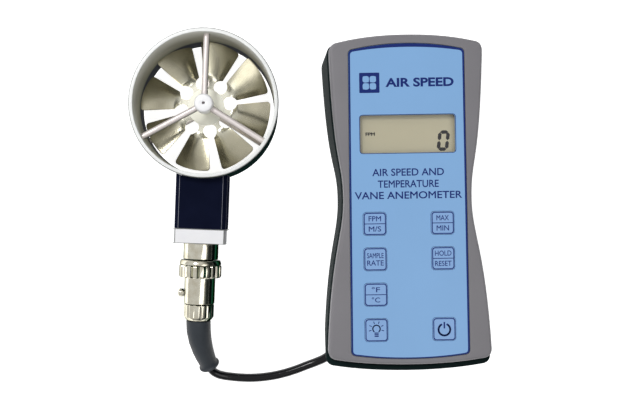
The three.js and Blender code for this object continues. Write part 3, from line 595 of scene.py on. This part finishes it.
def add_cable():
    curve = bpy.data.curves.new("cable_jacket", "CURVE")
    curve.dimensions = "3D"
    curve.resolution_u = 12
    curve.bevel_depth = CABLE_RADIUS * MM
    curve.bevel_resolution = 10
    curve.use_fill_caps = True
    line = curve.splines.new("BEZIER")
    line.bezier_points.add(len(CABLE_ROUTE) - 1)
    for knot, place in zip(line.bezier_points, CABLE_ROUTE):
        knot.co = Vector(place) * MM
        knot.handle_left_type = "AUTO"
        knot.handle_right_type = "AUTO"
    curve.materials.append(CABLE_JACKET)
    return ride(link("cable_jacket", curve), "meter", "cable_jacket", "cable")


def add_boot():
    start = on_connector_axis(CONNECTOR_END + SEAM)
    out_way = on_connector_axis(1) - on_connector_axis(0)
    end = CABLE_START - cable_start_way * SEAM
    knots = [start, start + out_way * 9, end - cable_start_way * 9, end]
    stations = [
        (0, 5.6), (0.012, 5.95), (0.2, 5.9), (0.4, 5.6), (0.6, 5.2), (0.75, 4.85), (0.86, 4.55),
        (0.93, 4.45), (0.945, 4.6), (0.955, 5.0), (0.965, 5.2), (0.985, 5.2), (0.996, 5.0), (1, 4.7),
    ]
    sides = 48
    rings = []
    for t, radius in stations:
        weights = [(1 - t) ** 3, 3 * t * (1 - t) ** 2, 3 * t * t * (1 - t), t ** 3]
        centre = sum((k * w for k, w in zip(knots, weights)), Vector())
        slopes = [-3 * (1 - t) ** 2, 3 * (1 - t) * (1 - 3 * t), 3 * t * (2 - 3 * t), 3 * t * t]
        along = sum((k * w for k, w in zip(knots, slopes)), Vector()).normalized()
        across = along.cross(UP).normalized()
        up = across.cross(along)
        rings.append([
            centre + across * radius * math.cos(a) + up * radius * math.sin(a)
            for a in (2 * math.pi * i / sides for i in range(sides))
        ])
    boot = build("boot_moulding", *loft(rings), BOOT_RUBBER)
    return ride(boot, "meter", "boot_rubber", "cable_boot")


cable = add_cable()
boot = add_boot()


# ---------------------------------------- meter outline


def quadratic(a, b, c, steps):
    found = []
    for i in range(1, steps + 1):
        t = i / steps
        found.append(tuple((1 - t) ** 2 * p + 2 * t * (1 - t) * q + t * t * r for p, q, r in zip(a, b, c)))
    return found


def cubic(a, b, c, d, steps):
    found = []
    for i in range(1, steps + 1):
        t = i / steps
        found.append(tuple(
            (1 - t) ** 3 * p + 3 * t * (1 - t) ** 2 * q + 3 * t * t * (1 - t) * r + t ** 3 * s
            for p, q, r, s in zip(a, b, c, d)
        ))
    return found


def meter_outline(form, grow=0.0):
    """Waisted outline with arched ends, counter-clockwise, grown outwards."""
    steps = OUTLINE_STEPS
    top = form["top_half"] + grow
    waist = form["waist_half"] + grow
    bottom = form["bottom_half"] + grow
    top_end = form["top_end"] + grow
    bottom_end = form["bottom_end"] - grow
    corner = max(form["corner"] + grow, 0.6)
    low = bottom_end + form["bottom_drop"]
    high = top_end - form["top_drop"]
    half = [(0, bottom_end)]
    half += quadratic(half[-1], (bottom * 0.5, bottom_end), (bottom - corner, low - corner * 0.12), steps)
    half += quadratic(half[-1], (bottom, low), (bottom, low + corner), steps)
    if waist < top:
        low_bend = (bottom - (bottom - waist) * 0.29, -22.7)
        high_bend = (top - (top - waist) * 0.36, 13.3)
        half += cubic(half[-1], low_bend, (waist, -16.5), (waist, WAIST_HEIGHT), steps)
        half += cubic(half[-1], (waist, 19.8), high_bend, (top, SIDE_TOP), steps)
    half.append((top, high - corner))
    half += quadratic(half[-1], (top, high), (top - corner, high + corner * 0.14), steps)
    half += quadratic(half[-1], (top * 0.5, top_end), (0, top_end), steps)
    return half + [(-x, y) for x, y in reversed(half[1:-1])]


def raised(outline, z):
    return [(x, y, z) for x, y in outline]


def lofted(form, levels):
    return loft([raised(meter_outline(form, grow), z) for grow, z in levels])


def blended(share):
    return {key: REAR_BACK[key] + (REAR_RIM[key] - REAR_BACK[key]) * share for key in REAR_BACK}


# ---------------------------------------- meter front


def key_centre(side, row):
    return side * KEY_COLUMN, FIRST_KEY_ROW - row * KEY_PITCH


KEYS = {
    "velocity_units": (-1, 0), "sample_rate": (-1, 1), "temperature_units": (-1, 2),
    "backlight": (-1, 3), "max_min": (1, 0), "hold_reset": (1, 1), "power": (1, 3),
}


def display_pane(grow, bottom, top):
    outline = rounded_rectangle(
        DISPLAY["width"] + grow, DISPLAY["height"] + grow, DISPLAY["corner"], DISPLAY["x"], DISPLAY["y"],
    )
    return prism(outline, bottom, top)


def add_front_shell():
    bottom = PARTING_HEIGHT + 0.1
    rounding = []
    for i in range(7):
        angle = math.pi / 2 * i / 6
        rounding.append((-1.5 + 1.5 * math.cos(angle), METER_HEIGHT - 1.6 + 1.6 * math.sin(angle)))
    shell = build("front_moulding", *lofted(FACE, [(-0.3, bottom), (0, bottom + 0.3)] + rounding), GREY_CASE)
    cut(
        shell,
        lofted(FACE, [(-WALL, bottom - 1), (-WALL, WEB_BOTTOM)]),
        lofted(FACEPLATE, [(SEAM * 0.7, RECESS_FLOOR), (SEAM * 0.7, METER_HEIGHT + 1)]),
        display_pane(0.6, WEB_BOTTOM - 1, RECESS_FLOOR + 1),
        display_pane(4.6, RECESS_FLOOR - 0.7, RECESS_FLOOR + 1),
        merged(*[
            rod((*key_centre(*where), WEB_BOTTOM - 1), (*key_centre(*where), RECESS_FLOOR + 1),
                KEYHOLE_RADIUS)
            for where in KEYS.values()
        ]),
    )
    soften(shell, 0.25)
    ride(shell, "meter", "grey_case", "front_shell")


def add_faceplate():
    film = build(
        "printed_film", *lofted(FACEPLATE, [(0, RECESS_FLOOR + 0.05), (0, FACEPLATE_TOP)]), BLUE_FILM,
    )
    keyholes = [
        prism(rounded_rectangle(KEY_SIZE + 0.3, KEY_SIZE + 0.3, KEY_CORNER + 0.15, *key_centre(*where)),
              RECESS_FLOOR - 1, FACEPLATE_TOP + 1)
        for where in KEYS.values()
    ]
    cut(film, display_pane(0, RECESS_FLOOR - 1, FACEPLATE_TOP + 1), merged(*keyholes))
    soften(film, 0.08, 2)
    ride(film, "meter", "blue_membrane", "faceplate")


def outline_band(outer, inner, z):
    """Flat printed band between two outlines with equal point counts."""
    count = len(outer)
    points = []
    for height in (z, z + PRINT):
        points += raised(outer, height) + raised(inner, height)
    faces = []
    top = 2 * count
    for i in range(count):
        j = (i + 1) % count
        faces.append((i, j, count + j, count + i))
        faces.append((top + i, top + count + i, top + count + j, top + j))
        faces.append((i, top + i, top + j, j))
        faces.append((count + i, count + j, top + count + j, top + count + i))
    return points, faces


def lettering(name, words, centre, size, z, paint=NAVY_INK, bold=0.0):
    """Generic words as a thin raised print, fitted to a width and height in mm."""
    curve = bpy.data.curves.new(name, "FONT")
    curve.body = words
    curve.align_x = "CENTER"
    curve.size = 1
    curve.extrude = 0.01
    curve.bevel_depth = bold
    curve.resolution_u = 4
    text = link(name, curve)
    view = bpy.context.evaluated_depsgraph_get()
    mesh = bpy.data.meshes.new_from_object(text.evaluated_get(view))
    bpy.data.objects.remove(text)
    bpy.data.curves.remove(curve)
    lows = [min(v.co[axis] for v in mesh.vertices) for axis in range(3)]
    highs = [max(v.co[axis] for v in mesh.vertices) for axis in range(3)]
    for vertex in mesh.vertices:
        share = [(vertex.co[a] - lows[a]) / (highs[a] - lows[a]) for a in range(3)]
        vertex.co = Vector((
            centre[0] + (share[0] - 0.5) * size[0],
            centre[1] + (share[1] - 0.5) * size[1],
            z + share[2] * PRINT,
        )) * MM
    work = bmesh.new()
    work.from_mesh(mesh)
    bmesh.ops.remove_doubles(work, verts=work.verts, dist=1e-7)
    work.to_mesh(mesh)
    work.free()
    mesh.materials.clear()
    mesh.materials.append(paint)
    return link(name, mesh)


def printed(name, solid, body="meter", paint=NAVY_INK):
    ride(build(name, *solid, paint), body, "blue_membrane")


def petal(centre, angle, length, width, z):
    """Leaf shape used in the fan mark."""
    outline = []
    steps = 12
    for i in range(2 * steps):
        t = i / (2 * steps) * 2 * math.pi
        along = length / 2 * (1 - math.cos(t)) + 0.5
        across = width / 2 * math.sin(t) * math.sin(math.pi * min(1, along / (length + 1)))
        outline.append((
            centre[0] + along * math.cos(angle) - across * math.sin(angle),
            centre[1] + along * math.sin(angle) + across * math.cos(angle),
        ))
    return prism(outline, z, z + PRINT)


def add_faceplate_print():
    z = FACEPLATE_TOP + 0.005
    # Navy border round the faceplate: a printed line, widened towards the top into painted shadow of the
    # recess.
    printed("print_border_and_recess_shadow", outline_band(
        meter_outline(FACEPLATE, -0.05), meter_outline(CLEAR_FILM), z,
    ))
    window = [
        rounded_rectangle(DISPLAY["width"] + 2 * g, DISPLAY["height"] + 2 * g, DISPLAY["corner"] + g,
                          DISPLAY["x"], DISPLAY["y"])
        for g in (0.32, 0.06)
    ]
    printed("print_window_edge", outline_band(*window, z))
    printed("print_fan_square", prism(rounded_rectangle(9.3, 9.3, 0.4, *MARK_CENTRE), z, z + PRINT))
    leaves = [
        petal(MARK_CENTRE, math.radians(45 + 90 * i), 3.6, 3.4, z + 1.5 * PRINT) for i in range(4)
    ]
    printed("print_fan_leaves", merged(*leaves), paint=BLUE_FILM)
    rows = [
        ("print_name", "AIR SPEED", (6, MARK_CENTRE[1]), (31.4, 4.2), 0.034),
        ("print_title_1", "AIR SPEED AND", (0.1, 12.5), (33, 3.4), 0.014),
        ("print_title_2", "TEMPERATURE", (0.1, 7.1), (28, 3.4), 0.014),
        ("print_title_3", "VANE ANEMOMETER", (0.1, 1.9), (49.4, 3.4), 0.014),
    ]
    for name, words, centre, size, bold in rows:
        ride(lettering(name, words, centre, size, z, bold=bold), "meter", "blue_membrane")


def stroke(points, width, z):
    """Flat printed line through points."""
    found = []
    for a, b in zip(points, points[1:]):
        way = Vector((b[0] - a[0], b[1] - a[1])).normalized() * width / 2
        side = Vector((-way.y, way.x))
        a, b = Vector(a) - way * 0.6, Vector(b) + way * 0.6
        outline = [tuple(a - side), tuple(b - side), tuple(b + side), tuple(a + side)]
        found.append(prism(outline, z, z + PRINT))
    return merged(*found)


def arc(centre, radius, start, end):
    turns = [math.radians(start + (end - start) * i / ARC_STEPS) for i in range(ARC_STEPS + 1)]
    return [(centre[0] + radius * math.cos(a), centre[1] + radius * math.sin(a)) for a in turns]


def key_icon(key, x, y, z):
    if key == "power":
        ring = stroke(arc((x, y - 0.2), 2.7, 118, 422), 0.85, z)
        return merged(ring, stroke([(x, y + 0.6), (x, y + 3.1)], 0.7, z + PRINT))
    bulb = stroke(arc((x, y + 0.6), 1.7, -50, 230), 0.55, z)
    base = [stroke([(x - 0.8, y - h), (x + 0.8, y - h)], 0.5, z) for h in (1.3, 2.05, 2.8)]
    rays = []
    middle = Vector((x, y + 0.6))
    for angle in range(-15, 196, 42):
        way = Vector(polar(1, math.radians(angle)))
        rays.append(stroke([middle + way * 2.5, middle + way * 3.5], 0.35, z))
    return merged(bulb, *base, *rays)


KEY_WORDS = {
    "velocity_units": ("FPM", "M/S", True), "max_min": ("MAX", "MIN", True),
    "hold_reset": ("HOLD", "RESET", True), "temperature_units": ("°F", "°C", True),
    "sample_rate": ("SAMPLE", "RATE", False),
}


def add_key(key, where):
    x, y = key_centre(*where)
    body = f"{key}_button"
    bottom = KEY_TOP - 0.5
    outline = rounded_rectangle(KEY_SIZE, KEY_SIZE, KEY_CORNER, x, y)
    inner = rounded_rectangle(KEY_SIZE - 0.3, KEY_SIZE - 0.3, KEY_CORNER - 0.15, x, y)
    cap = loft([raised(outline, bottom), raised(outline, KEY_TOP - 0.12), raised(inner, KEY_TOP)])
    plunger = rod((x, y, 31.2), (x, y, bottom + 0.1), PLUNGER_RADIUS)
    piece = build(f"key_cap_{key}", *merged(cap, plunger), KEY_FILM)
    ride(piece, body, "blue_membrane", f"key_{key}")
    z = KEY_TOP + 0.002
    frame_lines = [
        rounded_rectangle(KEY_SIZE - inset, KEY_SIZE - inset, KEY_CORNER - inset / 3, x, y)
        for inset in (0.45, 1.35)
    ]
    lines = [outline_band(*frame_lines, z)]
    if key not in KEY_WORDS:
        lines.append(key_icon(key, x, y, z))
        printed(f"print_key_{key}", merged(*lines), body)
        return
    upper, lower, divided = KEY_WORDS[key]
    if divided:
        lines.append(stroke([(x - 4.6, y), (x + 4.6, y)], 0.35, z))
    printed(f"print_key_{key}", merged(*lines), body)
    for part, words, offset in (("upper", upper, 2.35), ("lower", lower, -2.35)):
        width = min(7.6, 1.9 * len(words))
        text = lettering(f"print_{part}_{key}", words, (x, y + offset * (1 if divided else 0.72)),
                         (width, 2.4), z, bold=0.008)
        ride(text, body, "blue_membrane")


add_front_shell()
add_faceplate()
add_faceplate_print()
for key, where in KEYS.items():
    add_key(key, where)


# ---------------------------------------- display


def segment(a, b, width, z):
    """One bar of a seven-segment digit, with pointed ends."""
    a, b = Vector(a), Vector(b)
    way = (b - a).normalized()
    side = Vector((-way.y, way.x)) * width / 2
    tip = way * width / 2
    outline = [a, a + tip - side, b - tip - side, b, b - tip + side, a + tip + side]
    return prism([tuple(p) for p in outline], z, z + PRINT)


def add_digits():
    _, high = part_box("display_panel")
    z = high.z / MM + 0.01
    centre = Vector(DIGIT["centre"])
    w, h = DIGIT["half_width"], DIGIT["half_height"]
    slant = 0.12

    def at(x, y):
        return centre.x + x * w + slant * y * h, centre.y + y * h

    gap = 0.03
    bars = [
        ((-1 + gap, 1), (1 - gap, 1)), ((-1 + gap, -1), (1 - gap, -1)),
        ((-1, gap), (-1, 1 - gap)), ((1, gap), (1, 1 - gap)),
        ((-1, -1 + gap), (-1, -gap)), ((1, -1 + gap), (1, -gap)),
    ]
    digit = merged(*[segment(at(*a), at(*b), DIGIT["bar"], z) for a, b in bars])
    ride(build("display_zero", *digit, LCD_INK), "meter", "display_glass")
    unit = lettering("display_unit", "FPM", (-16.6, 30.5), (4.4, 1.6), z, LCD_INK, bold=0.04)
    ride(unit, "meter", "display_glass")


add_digits()


# ---------------------------------------- meter rear


def rear_solid():
    """Outside of the rear shell, from levels of outline, growth and height, bottom first."""
    top = PARTING_HEIGHT - 0.1
    levels = []
    for i in range(5):
        turn = math.pi / 2 * i / 4
        levels.append((REAR_BACK, -1.6 * (1 - math.sin(turn)), 2 * (1 - math.cos(turn))))
    for height, share in ((8, 0.275), (14, 0.55), (19.5, 0.775), (25, 1)):
        levels.append((blended(share), 0, height))
    for i in range(5):
        turn = math.pi / 2 * i / 4
        levels.append((REAR_RIM, -0.9 * (1 - math.cos(turn)), top - 1.4 + 1.4 * math.sin(turn)))
    return loft([raised(meter_outline(form, grow), z) for form, grow, z in levels])


def add_rear_shell():
    shell = build("rear_moulding", *rear_solid(), DARK_CASE)
    cavity = loft([
        raised(meter_outline(REAR_BACK, -WALL), FLOOR_THICKNESS),
        raised(meter_outline(blended(0.55), -WALL), 14),
        raised(meter_outline(REAR_RIM, -WALL), 25),
        raised(meter_outline(REAR_RIM, -WALL), PARTING_HEIGHT + 1),
    ])
    combine(shell, "DIFFERENCE", cavity)
    combine(shell, "UNION", rod(along_gland(-4), along_gland(-9), GLAND["boss"], 48))
    for x, y in CASE_SCREWS:
        tower = rod((x, y, FLOOR_THICKNESS - 0.4), (x, y, PARTING_HEIGHT - SEAM), SCREW["tower"])
        combine(shell, "UNION", tower)
    width, length, top_end = BATTERY["width"], BATTERY["length"], BATTERY["top_end"]
    half = DOOR["half_width"] + SEAM
    cut(
        shell,
        rod(along_gland(6), along_gland(-4), GLAND["counterbore"], 48),
        rod(along_gland(-1), along_gland(-16), GLAND["bore"]),
        slab(-half, half, -90, DOOR["top_end"] + SEAM, -1, DOOR["top"] + SEAM),
        slab(-width / 2 - 0.6, width / 2 + 0.6, top_end - length - 0.6, top_end + 3.2, 1,
             FLOOR_THICKNESS + 0.1),
    )
    for x, y in CASE_SCREWS:
        hole = rod((x, y, 1), (x, y, PARTING_HEIGHT + 1), SCREW["hole"])
        cut(shell, hole, rod((x, y, -1), (x, y, 2.3), SCREW["counterbore"]))
    ride(shell, "meter", "dark_case", "rear_shell")


def add_battery_door():
    door = build("sliding_door", *rear_solid(), DARK_CASE)
    half = DOOR["half_width"]
    combine(door, "INTERSECT", slab(-half, half, -90, DOOR["top_end"], DOOR["bottom"], DOOR["top"]))
    ribs = [slab(-6, 6, y - 0.45, y + 0.45, 0, 0.5) for y in (-20, -22, -24, -26, -28)]
    cut(door, merged(*ribs))
    soften(door, 0.15, 2)
    ride(door, "battery_cover", "dark_case", "battery_door")


def add_case_screw(index, x, y):
    head, shank = SCREW["head"], SCREW["shank"]
    profile = rounded_profile(
        [(0, 0.5), (head, 0.5), (head, 2.1), (shank, 2.1), (shank, 30.5), (0, 30.5)],
        [0, 0.6, 0.2, 0, 0.3, 0], False,
    )
    place = Matrix.Translation((x, y, 0))
    screw = build(f"screw_{index}", *turned(profile, 32), STEEL, place)
    arms = [slab(-1.6, 1.6, -0.35, 0.35, -1, 1.3), slab(-0.35, 0.35, -1.6, 1.6, -1, 1.3)]
    turn = place @ Matrix.Rotation(math.radians(25 * index), 4, "Z")
    cut(screw, *arms, place=turn)
    ride(screw, "meter", "steel", f"case_screw_{index}")


def add_gland():
    profile = rounded_profile(
        [(0, 0), (2.9, 0), (3.5, -2.3), (4.3, -2.3), (4.3, -3.7), (3, -3.7), (3, -11.5), (0, -11.5)],
        [0, 0.4, 0.3, 0.4, 0.3, 0.1, 0.2, 0], False,
    )
    turn = UP.rotation_difference(gland_way).to_matrix().to_4x4()
    gland = build("gland_bush", *turned(profile, 48), BOOT_RUBBER, Matrix.Translation(GLAND_MOUTH) @ turn)
    ride(gland, "meter", "boot_rubber", "cable_gland")


add_rear_shell()
add_battery_door()
add_gland()
for number, (x, y) in enumerate(CASE_SCREWS, 1):
    add_case_screw(number, x, y)


# ---------------------------------------- probe ring and spiders

UNTURN = Matrix.Translation((0, 0, RING_DEPTH)) @ Matrix.Rotation(math.pi, 4, "X")


def sensor_passages():
    return [rod((x, -30, z), (x, -40, z), radius) for x, z, radius in SENSOR_HOLES]


def add_ring():
    inner, outer, depth = RING_INNER, RING_OUTER, RING_DEPTH
    profile = rounded_profile(
        [(inner, 0), (outer, 0), (outer, depth), (inner, depth)], [0.5, 0.5, 0.7, 0.3], True,
    )
    ring = build("duct_ring", *turned(profile, 160), RING_LIP, PROBE)
    cut(ring, *sensor_passages(), place=PROBE)
    for paint in (RING_OUTER_SHADE, INNER_WALL_SHADE, EDGE_SHADE_METAL):
        ring.data.materials.append(paint)
    centre = PROBE @ Vector((0, 0, 0))
    # Painted shade by place: the lip's outer rounding is dark grey, the outer wall near black, and the inner
    # wall graded by height.
    for face in ring.data.polygons:
        middle = face.center / MM - centre
        reach = math.hypot(middle.x, middle.y)
        if reach > outer - 0.6 and 0.15 < face.normal.z < 0.97:
            face.material_index = 3
        elif reach > outer - 0.25 and abs(face.normal.z) < 0.5:
            face.material_index = 1
        elif reach < inner + 0.25 and abs(face.normal.z) < 0.5:
            face.material_index = 2
    ride(ring, "probe_head", "aluminium", "vane_ring")


def add_hub(side, place):
    profile = rounded_profile(
        [(0.7, 31), (HUB_RADIUS, 31), (HUB_RADIUS, 24.6), (1.9, 24.6), (1.9, 28.4), (0.7, 28.4)],
        [0.15, 1.1, 0.3, 0.1, 0.1, 0.1], True,
    )
    hub = build(f"{side}_boss", *turned(profile, 64), HUB_METAL, PROBE @ place)
    ride(hub, "probe_head", "aluminium", f"{side}_hub")


def add_strut(side, index, height):
    turn = PROBE @ Matrix.Rotation(math.radians(90 + 120 * index), 4, "Z")
    solid = rod((HUB_RADIUS - 0.15, 0, height), (RING_INNER + 0.2, 0, height), STRUT_RADIUS)
    strut = build(f"{side}_spoke_{index + 1}", *solid, STRUT_METAL, turn)
    ride(strut, "probe_head", "aluminium", f"{side}_strut_{index + 1}")


add_ring()
for side, place, height in (
    ("front", Matrix.Identity(4), STRUT_HEIGHT), ("rear", UNTURN, RING_DEPTH - STRUT_HEIGHT),
):
    add_hub(side, place)
    for index in range(3):
        add_strut(side, index, height)


# ---------------------------------------- impeller


def add_impeller_hub():
    radius, bore, low, high = ROTOR_HUB.values()
    middle = AXIS_HEIGHT
    edge = BLADE_ROOT - 0.1
    profile = rounded_profile(
        [(bore, low), (radius, low), (radius, middle - 0.5), (edge, middle - 0.5),
         (edge, middle + 0.5), (radius, middle + 0.5), (radius, high), (bore, high)],
        [0.1, 0.6, 0.3, 0.2, 0.2, 0.8, 0.6, 0.1], True,
    )
    hub = build("impeller_boss", *turned(profile, 64), DISC_METAL, PROBE)
    ride(hub, "impeller", "aluminium", "impeller_hub")


def blade_half_angle(radius):
    """Half the angle that a blade covers at a radius; it narrows at its neck and at its rounded tip."""
    gap_radius = 3.3
    if radius > BLADE_TIP - TIP_ROUNDING:
        past = (radius - (BLADE_TIP - TIP_ROUNDING)) / TIP_ROUNDING
        rounding = math.degrees(TIP_ROUNDING / BLADE_TIP) * (1 - math.sqrt(max(0, 1 - past * past)))
        return BLADE_HALF_ANGLE - rounding
    reach = min(1, abs(radius - NECK_RADIUS) / gap_radius)
    gap = gap_radius * math.sqrt(1 - reach * reach)
    in_gap = 180 / BLADE_COUNT - math.degrees(gap / radius)
    return min(BLADE_HALF_ANGLE, in_gap)


def smoothstep(value, low, high):
    t = min(1, max(0, (value - low) / (high - low)))
    return t * t * (3 - 2 * t)


def add_blade(index):
    radii = [BLADE_ROOT + (BLADE_SHOULDER - BLADE_ROOT) * i / 22 for i in range(23)]
    radii += [BLADE_SHOULDER + (BLADE_TIP - TIP_ROUNDING - BLADE_SHOULDER) * i / 14 for i in range(1, 15)]
    radii += [
        BLADE_TIP - TIP_ROUNDING + TIP_ROUNDING * math.sin(math.pi / 2 * i / 8) for i in range(1, 9)
    ]
    columns = 17
    camber = 0.9
    front, back = [], []
    for radius in radii:
        opened = smoothstep(radius, NECK_RADIUS, BLADE_SHOULDER)
        slope = math.tan(math.radians(BLADE_PITCH * opened))
        half = math.radians(blade_half_angle(radius))
        shift = Vector((0, -slope, 1)).normalized() * BLADE_THICKNESS / 2
        row_front, row_back = [], []
        for column in range(columns):
            across = column / (columns - 1) * 2 - 1
            x, y = polar(radius, half * across)
            point = Vector((x, y, slope * y + camber * opened * (1 - across * across)))
            row_front.append(point + shift)
            row_back.append(point - shift)
        front.append(row_front)
        back.append(row_back)
    turn = math.radians(FIRST_BLADE_ANGLE + 360 / BLADE_COUNT * index)
    place = PROBE @ Matrix.Translation((0, 0, AXIS_HEIGHT)) @ Matrix.Rotation(turn, 4, "Z")
    blade = build(f"blade_{index + 1}", *sheet(front, back), BLADE_METAL, place)
    ride(blade, "impeller", "aluminium", f"vane_blade_{index + 1}")


add_impeller_hub()
for index in range(BLADE_COUNT):
    add_blade(index)


# ---------------------------------------- stem

STEM_PLACE = PROBE @ Matrix.Translation((0, 0, AXIS_HEIGHT)) @ Matrix.Rotation(math.pi / 2, 4, "X")


def chamfered(width, height, chamfer):
    w, h = width / 2, height / 2
    return [
        (w - chamfer, -h), (w, chamfer - h), (w, h - chamfer), (w - chamfer, h),
        (chamfer - w, h), (-w, h - chamfer), (-w, chamfer - h), (chamfer - w, -h),
    ]


def add_stem():
    stem = build(
        "stem_tube", *prism(chamfered(STEM_WIDTH, STEM_THICKNESS, 2), 30, STEM_END), STEM_PAINT, STEM_PLACE,
    )
    cut(stem, rod((0, 0, -1), (0, 0, RING_DEPTH + 1), RING_OUTER + 0.1, 160), *sensor_passages(), place=PROBE)
    cut(stem, prism(chamfered(*STEM_BORE, 0.5), 38.5, STEM_END + 1), place=STEM_PLACE)
    # Stem roundings in light grey metal: a painted highlight along the chamfers, with painted shade where
    # they turn away from the top.
    soften(stem, 0.65, paint=EDGE_HIGHLIGHT_AND_SHADE)
    ride(stem, "probe_head", "navy_stem", "stem_housing")


def add_band():
    band = build(
        "silver_band", *prism(chamfered(STEM_WIDTH + 1.1, STEM_THICKNESS + 1, 1.2), STEM_END + 0.1, BAND_END),
        BAND_METAL, STEM_PLACE,
    )
    combine(band, "UNION", prism(chamfered(18.9, 16.4, 0.5), STEM_END - 2.4, STEM_END + 0.5), STEM_PLACE)
    cut(band, rod((0, 0, STEM_END - 4), (0, 0, BAND_END + 1), 3), place=STEM_PLACE)
    # Band roundings in dark grey metal: painted shade on its edges.
    soften(band, 0.3, paint=EDGE_SHADE_METAL)
    ride(band, "probe_head", "brushed_band", "stem_band")


add_stem()
add_band()


# ---------------------------------------- bayonet connector


def add_plug():
    profile = rounded_profile(
        [(3.2, BAND_END + 0.1), (8.45, BAND_END + 0.1), (8.45, 73.8), (5.9, 73.8), (5.9, 77.4),
         (6.7, 77.4), (6.7, 79.9), (4, 79.9), (4, 88), (3.2, 88)],
        [0, 0.4, 0.5, 0.2, 0.1, 0.2, 0.2, 0.1, 0.3, 0.1], True,
    )
    plug = build("plug_shell", *turned(profile, CONNECTOR_SIDES), NICKEL, STEM_PLACE)
    ride(plug, "probe_head", "nickel", "plug_body")


def notched_outline(radius, depth, notches, per_notch, sharpness):
    """Outline with rounded ribs between its notches, as pairs of radius and angle."""
    outline = []
    count = notches * per_notch
    for i in range(count):
        phase = (i % per_notch) / per_notch
        dip = max(0.0, math.cos(2 * math.pi * phase)) ** sharpness
        outline.append((radius - depth * dip, 2 * math.pi * i / count))
    return outline


def add_coupling():
    outline = notched_outline(GRIP["radius"], 0.85, GRIP["notches"], 14, 2.2)
    levels = [(GRIP["start"], 0.55), (GRIP["start"] + 0.35, 0.15), (GRIP["start"] + 0.8, 0),
              (GRIP["end"] - 0.8, 0), (GRIP["end"] - 0.35, 0.15), (GRIP["end"], 0.55)]
    rings = [[(*polar(r - inset, a), z) for r, a in outline] for z, inset in levels]
    ring = build("bayonet_nut", *loft(rings), NICKEL, STEM_PLACE)
    outside, end = SLEEVE["radius"], SLEEVE["end"]
    body = turned(rounded_profile(
        [(0, 74.1), (9.5, 74.1), (10.05, 75.6), (10.05, 76.3), (9, 76.3), (9, 82), (outside, 82),
         (outside, end), (0, end)],
        [0, 0.5, 0.3, 0.2, 0, 0, 0, 0.35, 0], False,
    ), CONNECTOR_SIDES)
    combine(ring, "UNION", body, STEM_PLACE, "MANIFOLD")
    inside, past_end = SLEEVE["bore"], end + 1
    bore = turned([(0, 73), (6.3, 73), (6.3, 77.1), (7.1, 77.1), (7.1, 80.4), (inside, 80.4),
                   (inside, past_end), (0, past_end)], CONNECTOR_SIDES)
    half = SLOT_WIDTH / 2
    entry = slab(-9, -4, -half, half, STUD_DISTANCE - half, past_end)
    cut(ring, bore, entry, place=STEM_PLACE, solver="MANIFOLD")
    boxes = 8
    for i in range(1, boxes + 1):
        turn = Matrix.Rotation(math.radians(COUPLING_TURN * i / boxes), 4, "Z")
        step = slab(-9, -4, -half, half, STUD_DISTANCE - half, STUD_DISTANCE + half)
        cut(ring, step, place=STEM_PLACE @ turn, solver="MANIFOLD")
    ride(ring, "coupling_nut", "nickel", "coupling_ring")


def add_back_nut():
    radius, start = NUT["radius"], NUT["start"]
    outline = notched_outline(radius, 0.35, NUT["flutes"], 10, 3)
    levels = [
        (start, radius - 0.3), (start + 0.3, radius), (101.4, radius), (101.7, radius - 0.1),
        (CONNECTOR_END - 0.2, 6.25), (CONNECTOR_END, 6.0),
    ]
    rings = [[(*polar(min(r, top), a), z) for r, a in outline] for z, top in levels]
    nut = build("fluted_nut", *loft(rings), NICKEL, STEM_PLACE)
    cut(nut, rod((0, 0, 90), (0, 0, 110), 1.8), place=STEM_PLACE)
    ride(nut, "meter", "nickel", "back_nut")


def add_stud():
    profile = rounded_profile([(0, 5.7), (1.3, 5.7), (1.3, 7.7), (2, 7.7), (2, 10.3), (0, 10.3)],
                              [0, 0.1, 0.1, 0.2, 1.1, 0], False)
    place = PROBE @ Matrix.Translation((0, -STUD_DISTANCE, AXIS_HEIGHT))
    turn = Matrix.Rotation(-math.pi / 2, 4, "Y")
    stud = build("lock_stud", *turned(profile, 40), NICKEL, place @ turn)
    ride(stud, "meter", "nickel", "bayonet_stud")


add_plug()
add_coupling()
add_back_nut()
add_stud()


# ---------------------------------------- finishes of the carried-over nodes

CARRIED = {
    "display_window": WINDOW, "display_panel": LCD_BACK, "display_frame": BLACK_PLASTIC,
    "backlight_panel": WHITE_PLASTIC, "dome_sheet": STEEL, "circuit_board": BOARD,
    "main_chip": BLACK_PLASTIC, "battery": BATTERY_CAN, "battery_snap": BLACK_PLASTIC,
    "front_bearing": JEWEL, "rear_bearing": JEWEL, "vane_shaft": STEEL, "sensor_board": BOARD,
    "pickup_sensor": BLACK_PLASTIC, "temperature_sensor": STEEL, "plug_insulator": BLACK_PLASTIC,
    "jack_body": NICKEL,
}
for node, paint in CARRIED.items():
    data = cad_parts[node].data
    data.materials.clear()
    data.materials.append(paint)
